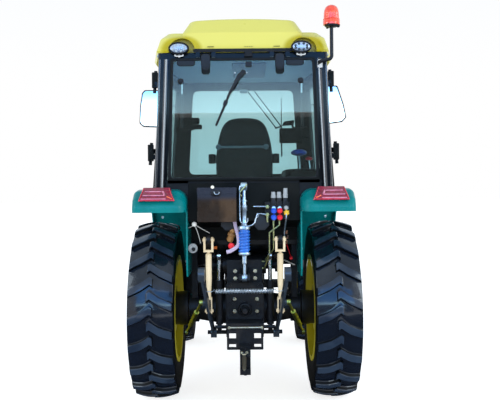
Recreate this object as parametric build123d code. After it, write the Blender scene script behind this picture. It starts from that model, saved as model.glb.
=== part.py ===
"""A 50 hp class four-wheel-drive farm tractor with a glazed cab, its hitch raised.

Millimetres. +Y is the driving direction, +X the tractor's right, +Z up, the floor at Z = 0.
Every piece is drawn with Y measured from the rear axle line; save() then moves it so that
the origin lies on the floor at the middle of the tractor's length and width.
"""

import math
import os

from build123d import *

# ---- driving dimensions -------------------------------------------------------------------
WHEELBASE = 1900
REAR_OVERHANG = 875  # rear axle to the raised lower links' ball ends
FRONT_OVERHANG = 845  # front axle to the front support's nose
LENGTH = REAR_OVERHANG + WHEELBASE + FRONT_OVERHANG
REAR_AXLE_Y = REAR_OVERHANG - LENGTH / 2  # where the rear axle lies in the finished frame

REAR_TYRE_R = 625  # 12.4-28 tyre, to the lugs' tips
REAR_TYRE_W = 307
REAR_RIM_R = 356
REAR_RIM_W = 280
REAR_TRACK = 1238
FRONT_TYRE_R = 445  # 8.3-20 tyre, to the lugs' tips
FRONT_TYRE_W = 211
FRONT_RIM_R = 254
FRONT_RIM_W = 180
FRONT_TRACK = 1200

HALF_TRACK_REAR = REAR_TRACK / 2
HALF_TRACK_FRONT = FRONT_TRACK / 2
FRONT_Y = WHEELBASE

# hitch, in the YZ plane: the lift arms and the lower links make a parallelogram
LINK_AXIS = (-170, 480)
LINK_LENGTH = 816
LINK_ANGLE = 36.03  # degrees above level, raised
ARM_AXIS = (-200, 954)
ARM_LENGTH = 330  # lift arm, and lower link from its front pin to the lift rod's pin
CYLINDER_ARM = 120  # lift arm axis to the lift cylinder's eye
CYLINDER_FOOT = (-300, 540)
LINK_X = 237.5  # lift rods and arms
LINK_FLARE = 0.0564  # how far the lower links spread for each unit of their length
CYLINDER_X = 174
STABILISER_PIN_X = 408
TOP_LINK_FOOT = (-475, 895)
TOP_LINK_EYE = (-450, 1500)
PTO_Z = 671

# steering
KINGPIN_X = 455
STEERING_ARM = 190
TIE_ROD_Z = 363
AXLE_BEAM_Z = 550

# cab
FLOOR_Z = 930
DECK_Z = 1120
FENDER_TOP_Z = 1485
SILL_Z = 1540
POST_TOP_Z = 2360
ROOF_Z = 2400
TUMBLEHOME = 0.07  # how far the cab's sides lean in for each unit of height
WINDOW_HINGE = (-425, 2378)
HOOD_HINGE = (1150, 1374)
DOOR_HINGES_Z = (1755, 2310)


# ---- helpers ------------------------------------------------------------------------------
def block(x0, x1, y0, y1, z0, z1):
    """A box between two corners."""
    return Pos((x0 + x1) / 2, (y0 + y1) / 2, (z0 + z1) / 2) * Box(x1 - x0, y1 - y0, z1 - z0)


def rod(start, end, radius, end_radius=None):
    """A round bar, or a cone, between two points."""
    a, b = Vector(*start), Vector(*end)
    plane = Plane(origin=a, z_dir=b - a)
    if end_radius is None or end_radius == radius:
        return extrude(plane * Circle(radius), amount=(b - a).length)
    return plane * Pos(0, 0, (b - a).length / 2) * Cone(radius, end_radius, (b - a).length)


def bar_x(x0, x1, y, z, radius):
    """A round bar along X."""
    return rod((x0, y, z), (x1, y, z), radius)


def side_plate(points, x0, x1, radius=0):
    """A plate from x0 to x1 whose outline, in (y, z), has corners of one radius."""
    face = make_face(Polyline(*points, close=True))
    if radius:
        face = fillet(face.vertices(), radius)
    return extrude(Plane.YZ.offset(x0) * face, amount=x1 - x0)


def back_plate(points, y0, y1, radius=0):
    """A plate from y0 to y1 whose outline is in (x, z)."""
    face = make_face(Polyline(*points, close=True))
    if radius:
        face = fillet(face.vertices(), radius)
    return extrude(Plane.XZ.offset(-y0) * face, amount=y0 - y1)


def floor_plate(points, z0, z1, radius=0):
    """A plate from z0 to z1 whose outline is in (x, y)."""
    face = make_face(Polyline(*points, close=True))
    if radius:
        face = fillet(face.vertices(), radius)
    return extrude(Plane.XY.offset(z0) * face, amount=z1 - z0)


def post(foot, head, z0, z1, size):
    """A leaning post of one rectangular section, from foot (x, y) at z0 to head (x, y) at z1."""
    lower = Plane.XY.offset(z0) * Pos(*foot) * Rectangle(*size)
    upper = Plane.XY.offset(z1) * Pos(*head) * Rectangle(*size)
    return loft([lower, upper], ruled=True)


def turned_x(profile, y, z, x_centre=0):
    """A body of revolution about an axis along X, from its (x, radius) outline."""
    face = make_face(Polyline(*[(x, r) for x, r in profile], close=True))
    return Pos(x_centre, y, z) * revolve(face, axis=Axis.X)


def turned_z(profile):
    """A body of revolution about Z, from its (radius, z) outline that starts and ends on the axis."""
    return revolve(Plane.XZ * make_face(Polyline(*profile, close=True)), axis=Axis.Z)


def mirrored(shape):
    return shape.mirror(Plane.YZ)


def both(shape):
    """A right-hand piece and its left-hand twin, as one shape."""
    return Compound(children=solids_of(shape) + solids_of(mirrored(shape)))


def solids_of(shape):
    return list(shape.solids())


def pipe(points, radius, bend):
    """A round tube along straight runs with bends of one radius."""
    path = FilletPolyline(*points, radius=bend)
    start = Plane(origin=path @ 0, z_dir=path % 0)
    return sweep(start * Circle(radius), path=path)


def along(axis_point, angle, distance):
    """The point (y, z) at a distance behind axis_point, raised by an angle in degrees."""
    a = math.radians(angle)
    return (axis_point[0] - distance * math.cos(a), axis_point[1] + distance * math.sin(a))


def save(node, shape):
    placed = Pos(0, REAR_AXLE_Y, 0) * shape
    solids = list(placed.solids())
    export_step(solids[0] if len(solids) == 1 else Compound(children=solids), f"parts/{node}.step")


# ---- wheels -------------------------------------------------------------------------------
# One lug, from its nose across the tread's middle to the shoulder. Columns: place across the
# half tread at the lug's foot and at its top, drop of the top (share of the tyre's radius), and
# trail behind the nose's line, in pitches from one lug to the next.
LUG_STATIONS = [
    (-0.14, -0.10, 0.000, -0.08),
    (0.40, 0.40, 0.006, 0.215),
    (0.95, 0.92, 0.045, 0.395),
]
LUG_FOOT = 0.158  # half the lug's length round the tyre at its foot, in pitches
LUG_TOP = 0.128  # and at its top


def lugged_tyre(radius, width, rim_radius, rim_width, lugs, lug_height):
    """A tyre about X with lugs fused to its tread, as one closed shell of flat facets.

    The two halves of the tread are half a pitch apart, so that each lug's nose reaches past
    the middle between two noses of the other half.
    """
    pitch = 2 * math.pi / lugs
    bead_radius = rim_radius / math.cos(pitch / 4)
    bead_across = (rim_width - 8) / width
    facets = []

    def point(side, across, drop, turn):
        angle = (turn - LUG_STATIONS[0][3] - LUG_TOP) * pitch
        r = radius - drop
        return Vector(side * across * width / 2, r * math.cos(angle), r * math.sin(angle))

    def facet(side, *corners):
        ring = corners if side < 0 else corners[::-1]
        for k in range(1, len(ring) - 1):
            facets.append(Face(Wire.make_polygon([ring[0], ring[k], ring[k + 1]], close=True)))

    def lug(side, start):
        """Foot and top corners at each station, early and late, of the lug that starts there."""
        foot, top = [], []
        for foot_across, top_across, drop, trail in LUG_STATIONS:
            turn = start + trail
            low = radius * drop + lug_height
            foot.append([point(side, foot_across, low, turn + e) for e in (-LUG_FOOT, LUG_FOOT)])
            top.append([point(side, top_across, radius * drop, turn + e) for e in (-LUG_TOP, LUG_TOP)])
        return foot, top

    def sidewall(side, start):
        """Corners of the shoulder, the sidewall's bulge and the bead, early and late."""
        turn = start + LUG_STATIONS[-1][3]
        shoulder = [point(side, 0.985, radius * 0.115, turn + e) for e in (-LUG_FOOT, LUG_FOOT)]
        bulge = [point(side, 1.0, radius * 0.20, turn + e) for e in (-0.25, 0.25)]
        bead = [point(side, bead_across, radius - bead_radius, turn + e) for e in (-0.25, 0.25)]
        return shoulder, bulge, bead

    for side, start in [(s, k + (0.5 if s < 0 else 0)) for k in range(lugs) for s in (1, -1)]:
        foot, top = lug(side, start)
        next_foot, _ = lug(side, start + 1)
        other_foot, _ = lug(-side, start + 0.5)
        facet(side, foot[0][0], top[0][0], top[0][1], foot[0][1])
        for here, there in ((0, 1), (1, 2)):
            facet(side, top[here][0], top[there][0], top[there][1], top[here][1])
            facet(side, foot[here][0], foot[there][0], top[there][0], top[here][0])
            facet(side, top[here][1], top[there][1], foot[there][1], foot[here][1])
        # the floor between this lug and the next, past the other half's nose
        facet(side, foot[1][1], other_foot[0][0], foot[0][1])
        facet(side, foot[1][1], other_foot[0][1], other_foot[0][0])
        facet(side, foot[1][1], next_foot[1][0], other_foot[0][1])
        facet(side, other_foot[0][1], next_foot[1][0], next_foot[0][0])
        facet(side, foot[1][1], foot[2][1], next_foot[2][0], next_foot[1][0])
        shoulder, bulge, bead = sidewall(side, start)
        next_shoulder, next_bulge, next_bead = sidewall(side, start + 1)
        facet(side, top[2][0], shoulder[0], shoulder[1], top[2][1])
        facet(side, foot[2][0], shoulder[0], top[2][0])
        facet(side, top[2][1], shoulder[1], foot[2][1])
        facet(side, foot[2][1], shoulder[1], next_shoulder[0], next_foot[2][0])
        for inner, outer, next_inner, next_outer in (
            (shoulder, bulge, next_shoulder, next_bulge),
            (bulge, bead, next_bulge, next_bead),
        ):
            facet(side, inner[0], outer[0], outer[1], inner[1])
            facet(side, inner[1], outer[1], next_outer[0], next_inner[0])
        if side > 0:
            far = [Vector(-v.X, v.Y, v.Z) for v in (*bead, next_bead[0])]
            facet(side, far[0], far[1], bead[1], bead[0])
            facet(side, far[1], far[2], next_bead[0], bead[1])
    return Solid(Shell(facets))


def rim_profile(rim_radius, rim_width, flange, well, wall):
    """Outline of a drop-centre rim: flanges, bead seats and the well between them."""
    half = rim_width / 2
    outside = [
        (-half - wall, rim_radius + flange),
        (-half, rim_radius + flange),
        (-half, rim_radius - 0.3),
        (-half * 0.62, rim_radius - 0.3),
        (-half * 0.45, rim_radius - well),
        (half * 0.20, rim_radius - well),
        (half * 0.38, rim_radius - 0.3),
        (half, rim_radius - 0.3),
        (half, rim_radius + flange),
        (half + wall, rim_radius + flange),
    ]
    inside = [
        (half + wall, rim_radius - wall),
        (half * 0.42, rim_radius - wall),
        (half * 0.24, rim_radius - well - wall),
        (-half * 0.49, rim_radius - well - wall),
        (-half * 0.66, rim_radius - wall),
        (-half - wall, rim_radius - wall),
    ]
    return outside + inside


def bolt_circle(count, radius, x0, x1, y, z, bolt_radius):
    """Bolt heads in a ring, each along X."""
    spots = [math.radians(360 * k / count) for k in range(count)]
    return [
        bar_x(x0, x1, y + radius * math.cos(a), z + radius * math.sin(a), bolt_radius) for a in spots
    ]


def rear_wheel():
    """Right rear rim, its dished disc on eight lugs, and the hub that carries it."""
    rim = turned_x(rim_profile(REAR_RIM_R, REAR_RIM_W, 25, 34, 7), 0, REAR_TYRE_R, HALF_TRACK_REAR)
    # the disc: hub face, dish, and the rolled edge that the lugs are bolted to
    disc = [
        (500, 70),
        (500, 165),
        (560, 285),
        (560, 300),
        (568, 300),
        (568, 283),
        (508, 163),
        (508, 70),
    ]
    wheel = rim + turned_x(disc, 0, REAR_TYRE_R)
    well = REAR_RIM_R - 34 - 7
    for k in range(8):
        lug = block(556, 600, -28, 28, 286, well + 3)
        wheel += Pos(0, 0, REAR_TYRE_R) * Rot(45 * k, 0, 0) * lug
    hub = [(405, 0), (405, 92), (430, 92), (440, 118), (500, 118), (500, 70), (545, 62), (545, 0)]
    wheel += turned_x(hub, 0, REAR_TYRE_R)
    for bolt in bolt_circle(8, 138, 507, 520, 0, REAR_TYRE_R, 13):
        wheel += bolt
    return wheel


def front_wheel():
    """Right front rim with its pressed disc and hub, turning on the knuckle."""
    profile = rim_profile(FRONT_RIM_R, FRONT_RIM_W, 20, 26, 6)
    rim = turned_x(profile, FRONT_Y, FRONT_TYRE_R, HALF_TRACK_FRONT)
    disc = [
        (572, 45),
        (572, 130),
        (600, 205),
        (600, FRONT_RIM_R - 31),
        (607, FRONT_RIM_R - 31),
        (607, 203),
        (580, 128),
        (580, 45),
    ]
    wheel = rim + turned_x(disc, FRONT_Y, FRONT_TYRE_R)
    hub = [(565, 0), (565, 98), (572, 98), (572, 100), (580, 100), (612, 62), (640, 55), (640, 0)]
    wheel += turned_x(hub, FRONT_Y, FRONT_TYRE_R)
    for bolt in bolt_circle(6, 112, 579, 592, FRONT_Y, FRONT_TYRE_R, 11):
        wheel += bolt
    return wheel


def save_wheels():
    rear = lugged_tyre(REAR_TYRE_R, REAR_TYRE_W, REAR_RIM_R, REAR_RIM_W, 20, 30)
    rear = Pos(HALF_TRACK_REAR, 0, REAR_TYRE_R) * rear
    front = lugged_tyre(FRONT_TYRE_R, FRONT_TYRE_W, FRONT_RIM_R, FRONT_RIM_W, 18, 24)
    front = Pos(HALF_TRACK_FRONT, FRONT_Y, FRONT_TYRE_R) * front
    pieces = {
        "rear_tyre": rear,
        "rear_rim": rear_wheel(),
        "front_tyre": front,
        "front_rim": front_wheel(),
    }
    for name, right in pieces.items():
        save(f"{name}_right", right)
        save(f"{name}_left", mirrored(right))


# ---- chassis ------------------------------------------------------------------------------
def rear_housing():
    """Cast rear axle housing with its trumpets, lift cover, PTO plate and hitch brackets."""
    body = block(-130, 130, -330, 360, 520, 830)
    body = chamfer(body.edges().filter_by(Axis.Y).group_by(Axis.Z)[0], 45)
    body += block(-120, 120, -320, 100, 830, 1000)
    body += bar_x(-150, 150, *ARM_AXIS, 62)
    body += back_plate([(-122, 600), (122, 600), (122, 850), (-122, 850)], -345, -330, 18)
    body += rod((0, -345, PTO_Z), (0, -362, PTO_Z), 46)
    body += rod((0, -362, PTO_Z), (0, -460, PTO_Z), 17.5)
    for x in (-95, 95):
        for z in (630, 700, 770, 825):
            body += rod((x, -345, z), (x, -356, z), 10)
    right = rod((125, 0, REAR_TYRE_R), (330, 0, REAR_TYRE_R), 118, 84)
    right += bar_x(330, 398, 0, REAR_TYRE_R, 100)
    right += block(336, 376, -60, 60, 690, DECK_Z - 30)  # post that carries the cab
    cheek = [(-330, 600), (-330, 522), (-212, 452), (-148, 452), (-60, 540), (-60, 600)]
    right += side_plate(cheek, 112, 130, 14)
    right += bar_x(120, 262, *LINK_AXIS, 14)
    right += bar_x(120, 206, *CYLINDER_FOOT, 12)
    bracket = side_plate([(-40, 640), (60, 540), (-160, 461), (-187, 469), (-187, 491)], 375, 387, 6)
    right += bracket + bar_x(387, 426, *LINK_AXIS, 9)
    ear = side_plate([(-310, 855), (-310, 948), (-500, 925), (-506, 880), (-470, 862)], 22, 34, 8)
    right += ear
    return body + right + mirrored(right) + bar_x(-40, 40, *TOP_LINK_FOOT, 11)


def clutch_housing():
    """Gearbox and bell housing between the rear axle and the engine, with the transfer case."""
    rear = Plane.XZ.offset(-360) * Pos(0, 700) * Rectangle(240, 260)
    front = Plane.XZ.offset(-1112) * Pos(0, 735) * Rectangle(330, 310)
    case = loft([rear, front], ruled=True)
    return case + block(-70, 70, 820, 980, 466, 640)


def engine():
    """The engine as one plain mass: sump, crankcase and head."""
    mass = block(-130, 130, 1140, 1660, 584, 640)
    mass += block(-160, 160, 1112, 1690, 640, 880)
    return mass + block(-150, 150, 1140, 1650, 880, 1180)


def front_frame():
    """Side rails on the engine, brackets that carry the axle, and the cast front support."""
    right = block(162, 184, 1480, 2500, 640, 760)
    frame = right + mirrored(right)
    outline = [(-60, 486), (60, 486), (140, 600), (163, 700), (-163, 700), (-140, 600)]
    for y in (1722, 2038):
        trunnion = rod((0, y - 5, AXLE_BEAM_Z), (0, y + 41, AXLE_BEAM_Z), 36)
        frame += back_plate(outline, y, y + 36) - trunnion
    frame += block(-163, 163, 1700, 2480, 742, 760)  # battery and radiator tray
    tip = FRONT_Y + FRONT_OVERHANG
    right_half = [(184, 2470), (184, tip - 60), (120, tip)]
    nose = floor_plate(right_half + [(-x, y) for x, y in right_half[::-1]], 560, 780, 12)
    nose -= block(-110, 110, tip - 90, tip + 10, 625, 715)
    return frame + nose - rod((0, tip - 48, 500), (0, tip - 48, 800), 13)


def front_axle():
    """Driven front axle beam with its differential, pivot trunnions and kingpin housings."""
    beam = bar_x(-KINGPIN_X, KINGPIN_X, FRONT_Y, AXLE_BEAM_Z, 42)
    bulge = [(-105, 0), (-105, 52), (-62, 104), (62, 104), (105, 52), (105, 0)]
    beam += turned_x(bulge, FRONT_Y, AXLE_BEAM_Z)
    beam += rod((0, 1706, AXLE_BEAM_Z), (0, 2092, AXLE_BEAM_Z), 35.7)
    for x in (-KINGPIN_X, KINGPIN_X):
        beam += rod((x, FRONT_Y, 508), (x, FRONT_Y, 616), 50)
        beam -= rod((x, FRONT_Y, 500), (x, FRONT_Y, 596), 28.3)
    return beam


def knuckle():
    """Right final-drive case, turning under the axle's end, with its steering arm."""
    case = rod((KINGPIN_X, FRONT_Y, 348), (KINGPIN_X, FRONT_Y, 496), 54)
    case += bar_x(KINGPIN_X, 560, FRONT_Y, FRONT_TYRE_R, 56)
    case += rod((KINGPIN_X, FRONT_Y, 496), (KINGPIN_X, FRONT_Y, 590), 28)
    arm_end = FRONT_Y - STEERING_ARM
    arm = block(KINGPIN_X - 24, KINGPIN_X + 24, arm_end, FRONT_Y, 378, 398)
    arm += rod((KINGPIN_X, arm_end, 378), (KINGPIN_X, arm_end, 398), 24)
    return case + arm + rod((KINGPIN_X, arm_end, 346), (KINGPIN_X, arm_end, 398), 9)


def tie_rod():
    """Rod behind the axle that turns both knuckles together, with an eye at each end."""
    y = FRONT_Y - STEERING_ARM
    bar = bar_x(-KINGPIN_X, KINGPIN_X, y, TIE_ROD_Z, 11)
    for x in (-KINGPIN_X, KINGPIN_X):
        bar += rod((x, y, TIE_ROD_Z - 12), (x, y, TIE_ROD_Z + 12), 21)
        bar -= rod((x, y, TIE_ROD_Z - 20), (x, y, TIE_ROD_Z + 20), 9.3)
    return bar


def steps():
    """Right pair of access treads between two hangers under the cab floor."""
    ladder = block(520, 700, 790, 1050, 440, 458) + block(520, 700, 785, 1045, 660, 678)
    for y in (776, 1026):
        hanger = [(y, FLOOR_Z - 30), (y + 14, FLOOR_Z - 30), (y + 24, 440), (y + 10, 440)]
        ladder += side_plate(hanger, 530, 600)
    return ladder


def fuel_tank():
    """Moulded tank hung from the cab floor on two straps, to the left of the gearbox."""
    tank = fillet(block(-500, -175, 640, 1060, 560, 860).edges(), 28)
    for x in (-460, -215):
        tank += block(x - 20, x + 20, 760, 1000, 850, FLOOR_Z - 30)
    return tank


def save_chassis():
    save("rear_housing", rear_housing())
    save("clutch_housing", clutch_housing())
    save("engine", engine())
    save("front_frame", front_frame())
    save("front_axle", front_axle())
    save("knuckle_right", knuckle())
    save("knuckle_left", mirrored(knuckle()))
    save("tie_rod", tie_rod())
    save("drive_shaft", rod((0, 981, AXLE_BEAM_Z), (0, 1705, AXLE_BEAM_Z), 28))
    save("fuel_tank", fuel_tank())
    save("steps", both(steps()))


# ---- hood ---------------------------------------------------------------------------------
def hood_section(y, half, top, shoulder):
    """Closed section of the hood at one Y: flat sides, round shoulders and a crowned top."""
    bottom = 700
    outline = make_face(
        Polyline((-half, bottom), (half, bottom), (half, top), (-half, top), close=True)
    )
    upper = outline.vertices().group_by(Axis.Y)[-1]
    return Plane.XZ.offset(-y) * fillet(upper, shoulder)


def hood_form(inset):
    """The hood's filled form, drawn in from the outside by an inset."""
    sections = [(1125, 272, 1400), (1900, 262, 1372), (2690, 228, 1330)]
    body = loft(
        [hood_section(y, half - inset, top - inset, 70 - inset) for y, half, top in sections],
        ruled=True,
    )
    side = [
        (1130, 880 - 3 * inset),
        (1130, 1400 - inset),
        (1900, 1352 - inset),
        (2440, 1262 - inset),
        (2600 - inset, 1180 - inset),
        (2680 - inset, 1040),
        (2690 - inset, 800 - 3 * inset),
        (2400, 800 - 3 * inset),
        (2300, 880 - 3 * inset),
    ]
    return body & side_plate(side, -400, 400)


def hood():
    """One-piece hood: a hollow shell with louvres, a mouth for the grille and hinge barrels."""
    shell = hood_form(0) - hood_form(14)
    shell -= block(-170, 170, 2560, 2720, 850, 1100)
    for k in range(6):
        y = 1330 + 90 * k
        vent = side_plate([(y, 1080), (y + 26, 1080), (y + 66, 1220), (y + 40, 1220)], -300, 300)
        shell -= vent
    for x in (-170, 170):
        shell += bar_x(x - 28, x + 28, *HOOD_HINGE, 14)
    return shell


def grille():
    """Frame and upright bars set in the hood's mouth."""
    frame = back_plate([(-169, 851), (169, 851), (169, 1099), (-169, 1099)], 2640, 2655)
    frame -= back_plate([(-150, 868), (150, 868), (150, 1082), (-150, 1082)], 2630, 2665)
    for k in range(11):
        x = -130 + 26 * k
        frame += block(x - 4, x + 4, 2642, 2653, 868, 1082)
    return frame


def save_hood():
    save("hood", hood())
    save("grille", grille())
    lamp = back_plate([(60, 1115), (190, 1115), (196, 1172), (75, 1172)], 2560, 2640, 12)
    save("headlamps", both(lamp - hood_form(0)))


# ---- cab ----------------------------------------------------------------------------------
def side_x(y, z):
    """X of the outer face of the right door plane at a point of the side view."""
    return 694 - 0.1106 * (y - 360) - TUMBLEHOME * (z - 1550)


def side_plane(y, z):
    """The right door's outer plane with its origin at (y, z), x forwards, y up and z outwards."""
    here = Vector(side_x(y, z), y, z)
    forwards = Vector(side_x(y + 100, z) - here.X, 100, 0)
    up = Vector(side_x(y, z + 100) - here.X, 0, 100)
    return Plane(origin=here, x_dir=forwards, z_dir=forwards.cross(up))


DOOR = side_plane(378, FLOOR_Z)
HINGE_OUT = 38  # door hinge axis outside the door's face
HINGE_BACK = -7  # and behind its rear edge


def on_door(y, z):
    """A point of the side view as (along, up) in the door's plane."""
    local = DOOR.to_local_coords(Vector(side_x(y, z), y, z))
    return (local.X, local.Y)


def door_panel(points, top, thickness, radius):
    """A panel in the door's plane between two depths below its outer face."""
    face = make_face(Polyline(*[on_door(*p) for p in points], close=True))
    face = fillet(face.vertices(), radius)
    return extrude(DOOR.offset(-top) * face, amount=-thickness)


DOOR_OUTLINE = [
    (378, 2352),
    (992, 2352),
    (1048, 946),
    (738, 946),
    (628, 1226),
    (400, 1508),
    (378, 1508),
]
WINDOW_OUTLINE = [
    (412, 2312),
    (956, 2312),
    (1002, 1000),
    (772, 1000),
    (668, 1246),
    (440, 1530),
    (412, 1530),
]


def door_frame():
    """Right door: a frame cut for one large pane, with its hinge leaves and handle."""
    frame = door_panel(DOOR_OUTLINE, 0, 30, 10) - door_panel(WINDOW_OUTLINE, -5, 45, 14)
    for z in DOOR_HINGES_Z:
        _, up = on_door(378, z)
        leaf = DOOR * Pos(34, up + 22, HINGE_OUT / 2) * Box(36, 40, HINGE_OUT)
        barrel = DOOR * Pos(HINGE_BACK, up + 44, HINGE_OUT) * Rot(90, 0, 0) * Cylinder(13, 84)
        strap = DOOR * Pos(22, up + 22, HINGE_OUT + 4) * Box(58, 40, 8)
        frame += leaf + strap + barrel
    along_s, up = on_door(1000, 1330)
    return frame + DOOR * Pos(along_s, up, 14) * Box(26, 150, 28)


def door_glass():
    return door_panel(WINDOW_OUTLINE, 12, 6, 14)


def cab_tub():
    """Floor, raised deck under the seat, the wall ahead of the feet, and the hood's hinge arms."""
    tub = block(-376, 376, 330, 560, 900, FLOOR_Z)
    tub += block(-636, 636, 735, 1106, 900, FLOOR_Z)
    tub += block(-376, 376, 560, 735, 900, FLOOR_Z)
    tub += block(-376, 376, 330, 360, FLOOR_Z, DECK_Z)
    tub += block(-376, 376, -120, 360, DECK_Z - 30, DECK_Z)
    tub += back_plate([(-598, FLOOR_Z), (598, FLOOR_Z), (566, 1430), (-566, 1430)], 1076, 1106)
    y, z = HOOD_HINGE
    reach = [(1100, 1285), (1100, 1320), (y - 8, 1332), (y - 8, z), (y + 12, z), (y + 12, 1300)]
    arm = side_plate(reach, 206, 214)
    arm += bar_x(203, 214, y, z, 6)
    return tub + arm + mirrored(arm)


def cab_rear_wall():
    """Lower rear wall of the cab, stepped in over the lift arms, with the window sill on top."""
    outline = [
        (-400, 1487),
        (-400, 1272),
        (-118, 1212),
        (-118, DECK_Z + 1),
        (-90, DECK_Z + 1),
        (-90, 1236),
        (-372, 1296),
        (-372, 1487),
    ]
    wall = side_plate(outline, -376, 376)
    wall += block(-511, 511, -400, -345, 1487, SILL_Z)
    # forked rest that the stowed top link leans on
    rest = block(-34, -24, -436, -400, 1420, 1450) + block(24, 34, -436, -400, 1420, 1450)
    return wall + rest + block(-34, 34, -412, -400, 1415, 1455)


def cab_posts():
    """Six leaning posts, each B-post also carrying its fixed hinge leaves."""
    foot, head = side_x(1088, FLOOR_Z) - 28, side_x(1031, POST_TOP_Z) - 28
    a_post = post((foot, 1088), (head, 1031), FLOOR_Z, POST_TOP_Z, (54, 58))
    foot, head = side_x(370, FENDER_TOP_Z) - 31, side_x(370, POST_TOP_Z) - 31
    b_post = post((foot, 340), (head, 340), FENDER_TOP_Z, POST_TOP_Z, (60, 60))
    c_post = post((556, -370), (521, -370), FENDER_TOP_Z, POST_TOP_Z, (82, 60))
    for z in DOOR_HINGES_Z:
        _, up = on_door(378, z)
        leaf = DOOR * Pos(-32, up - 22, HINGE_OUT / 2 - 8) * Box(34, 40, HINGE_OUT + 24)
        barrel = DOOR * Pos(HINGE_BACK, up - 44, HINGE_OUT) * Rot(90, 0, 0) * Cylinder(13, 84)
        strap = DOOR * Pos(-24, up - 22, HINGE_OUT + 4) * Box(36, 40, 8)
        b_post += leaf + strap + barrel
    return both(Compound(children=[a_post, b_post, c_post]))


def cab_roof_ring():
    """The ring of rails on top of the posts, with the rear window's hinge lugs."""
    right = [(566, -400), (638, 320), (638, 420), (566, 1062)]
    outer = right + [(-x, y) for x, y in right[::-1]]
    right = [(487, -354), (549, 320), (549, 420), (487, 1012)]
    inner = right + [(-x, y) for x, y in right[::-1]]
    ring = floor_plate(outer, POST_TOP_Z, ROOF_Z, 20)
    ring -= floor_plate(inner, POST_TOP_Z - 1, ROOF_Z + 1, 20)
    for x in (-300, -194, 194, 300):
        ring += block(x - 14, x + 14, -430, -398, 2364, ROOF_Z)
    return ring


def cab_glass():
    """The fixed panes: windscreen and the two quarter windows."""
    foot, head = 1086, 1050
    screen = Plane(origin=(0, foot, 1431), x_dir=(1, 0, 0), z_dir=(0, 2356 - 1431, foot - head))
    height = math.hypot(2356 - 1431, foot - head)
    # x_dir cross z_dir points down the pane, so its outline is drawn with y going down
    pane = make_face(Polyline((-562, 0), (562, 0), (500, -height), (-500, -height), close=True))
    windscreen = extrude(screen * pane, amount=-6)
    corners = [(575, -336, 1488), (667, 306, 1488), (632, 306, 2356), (540, -336, 2356)]
    quarter = Face(Wire.make_polygon([Vector(*c) for c in corners], close=True))
    right = extrude(quarter, amount=6, dir=(-1, 0.14, 0))
    return Compound(children=[*windscreen.solids(), *right.solids(), *mirrored(right).solids()])


def roof():
    """Moulded roof: a wide lower cap, a raised middle, and arches over the rear lamps."""
    # lower cap: Z, then the plan's narrow rear, wide and front half-widths and its rear and front
    levels = [
        (ROOF_Z, 560, 634, 548, -415, 1232),
        (2412, 575, 644, 560, -425, 1240),
        (2500, 548, 626, 538, -392, 1196),
        (2544, 505, 588, 500, -335, 1150),
    ]
    plans = []
    for z, rear, wide, front, back_y, front_y in levels:
        right = [(rear, back_y), (wide, 60), (wide, 900), (front, front_y)]
        outline = make_face(Polyline(*right, *[(-x, y) for x, y in right[::-1]], close=True))
        plans.append(Plane.XY.offset(z) * fillet(outline.vertices(), 60))
    cap = loft(plans, ruled=True)
    # raised middle: Z, half-width, rear and front
    rise = [(2402, 428, -427, 1150), (2536, 410, -396, 1110), (2660, 344, -300, 1000)]
    steps_up = [
        Plane.XY.offset(z) * Pos(0, (y0 + y1) / 2) * RectangleRounded(2 * half, y1 - y0, 60)
        for z, half, y0, y1 in rise
    ]
    middle = loft(steps_up, ruled=True)
    middle &= rod((0, -600, 2648 - 4000), (0, 1300, 2648 - 4000), 4000)  # the crown of the top
    cap += fillet(middle.edges().group_by(Axis.Z)[-1], 40)
    hollow = Plane.XY.offset(ROOF_Z - 1) * Pos(0, 360) * RectangleRounded(1000, 1320, 60)
    ceiling = Plane.XY.offset(2514) * Pos(0, 380) * RectangleRounded(900, 1220, 60)
    cap -= loft([hollow, ceiling], ruled=True)
    for x in (-408, 408):
        cap -= rod((x, -480, 2412), (x, -352, 2412), 87)
    return cap


PANE_OUTLINE = [(-486, 1560), (486, 1560), (464, 2344), (-464, 2344)]  # rear window pane


def rear_window_frame():
    """Opening rear window's frame with its two hinge straps."""
    outer = [(-507, 1544), (507, 1544), (484, 2359), (-484, 2359)]
    frame = back_plate(outer, -432, -406, 16) - back_plate(PANE_OUTLINE, -440, -395, 24)
    y, z = WINDOW_HINGE
    for x in (-247, 247):
        strap = [(x - 29, 2250), (x + 29, 2250), (x + 29, 2372), (x - 29, 2372)]
        frame += back_plate(strap, -440, -432, 20)
        frame += block(x - 29, x + 29, -440, y, 2352, 2378) + bar_x(x - 36, x + 36, y, z, 9)
    return frame


def rear_window_glass():
    return back_plate(PANE_OUTLINE, -421, -415, 24)


def seat():
    """Operator's seat: base, cushion and a high backrest with the armrests' pivot."""
    base = block(-150, 150, 0, 330, DECK_Z, 1270)
    cushion = fillet(block(-225, 225, -20, 420, 1270, 1390).edges(), 30)
    right = [(212, 1380), (205, 1830), (140, 1990)]
    back = back_plate(right + [(-x, z) for x, z in right[::-1]], -90, 20, 60)
    return base + cushion + back + bar_x(-250, 250, -40, 1760, 18)


def dash():
    """Instrument console with the steering column rising from it."""
    outline = [(1075, FLOOR_Z), (1075, 1500), (985, 1520), (900, 1440), (930, FLOOR_Z)]
    return side_plate(outline, -170, 170, 12) + rod((0, 940, 1440), (0, 800, 1560), 34)


def steering_wheel():
    tilt = Plane(origin=(0, 770, 1586), z_dir=(0, -140, 120))
    wheel = tilt * Torus(185, 14) + tilt * Cylinder(44, 30)
    for a in (90, 210, 330):
        wheel += tilt * Rot(0, 0, a) * Pos(100, 0, 0) * Box(150, 26, 12)
    return wheel


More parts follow.
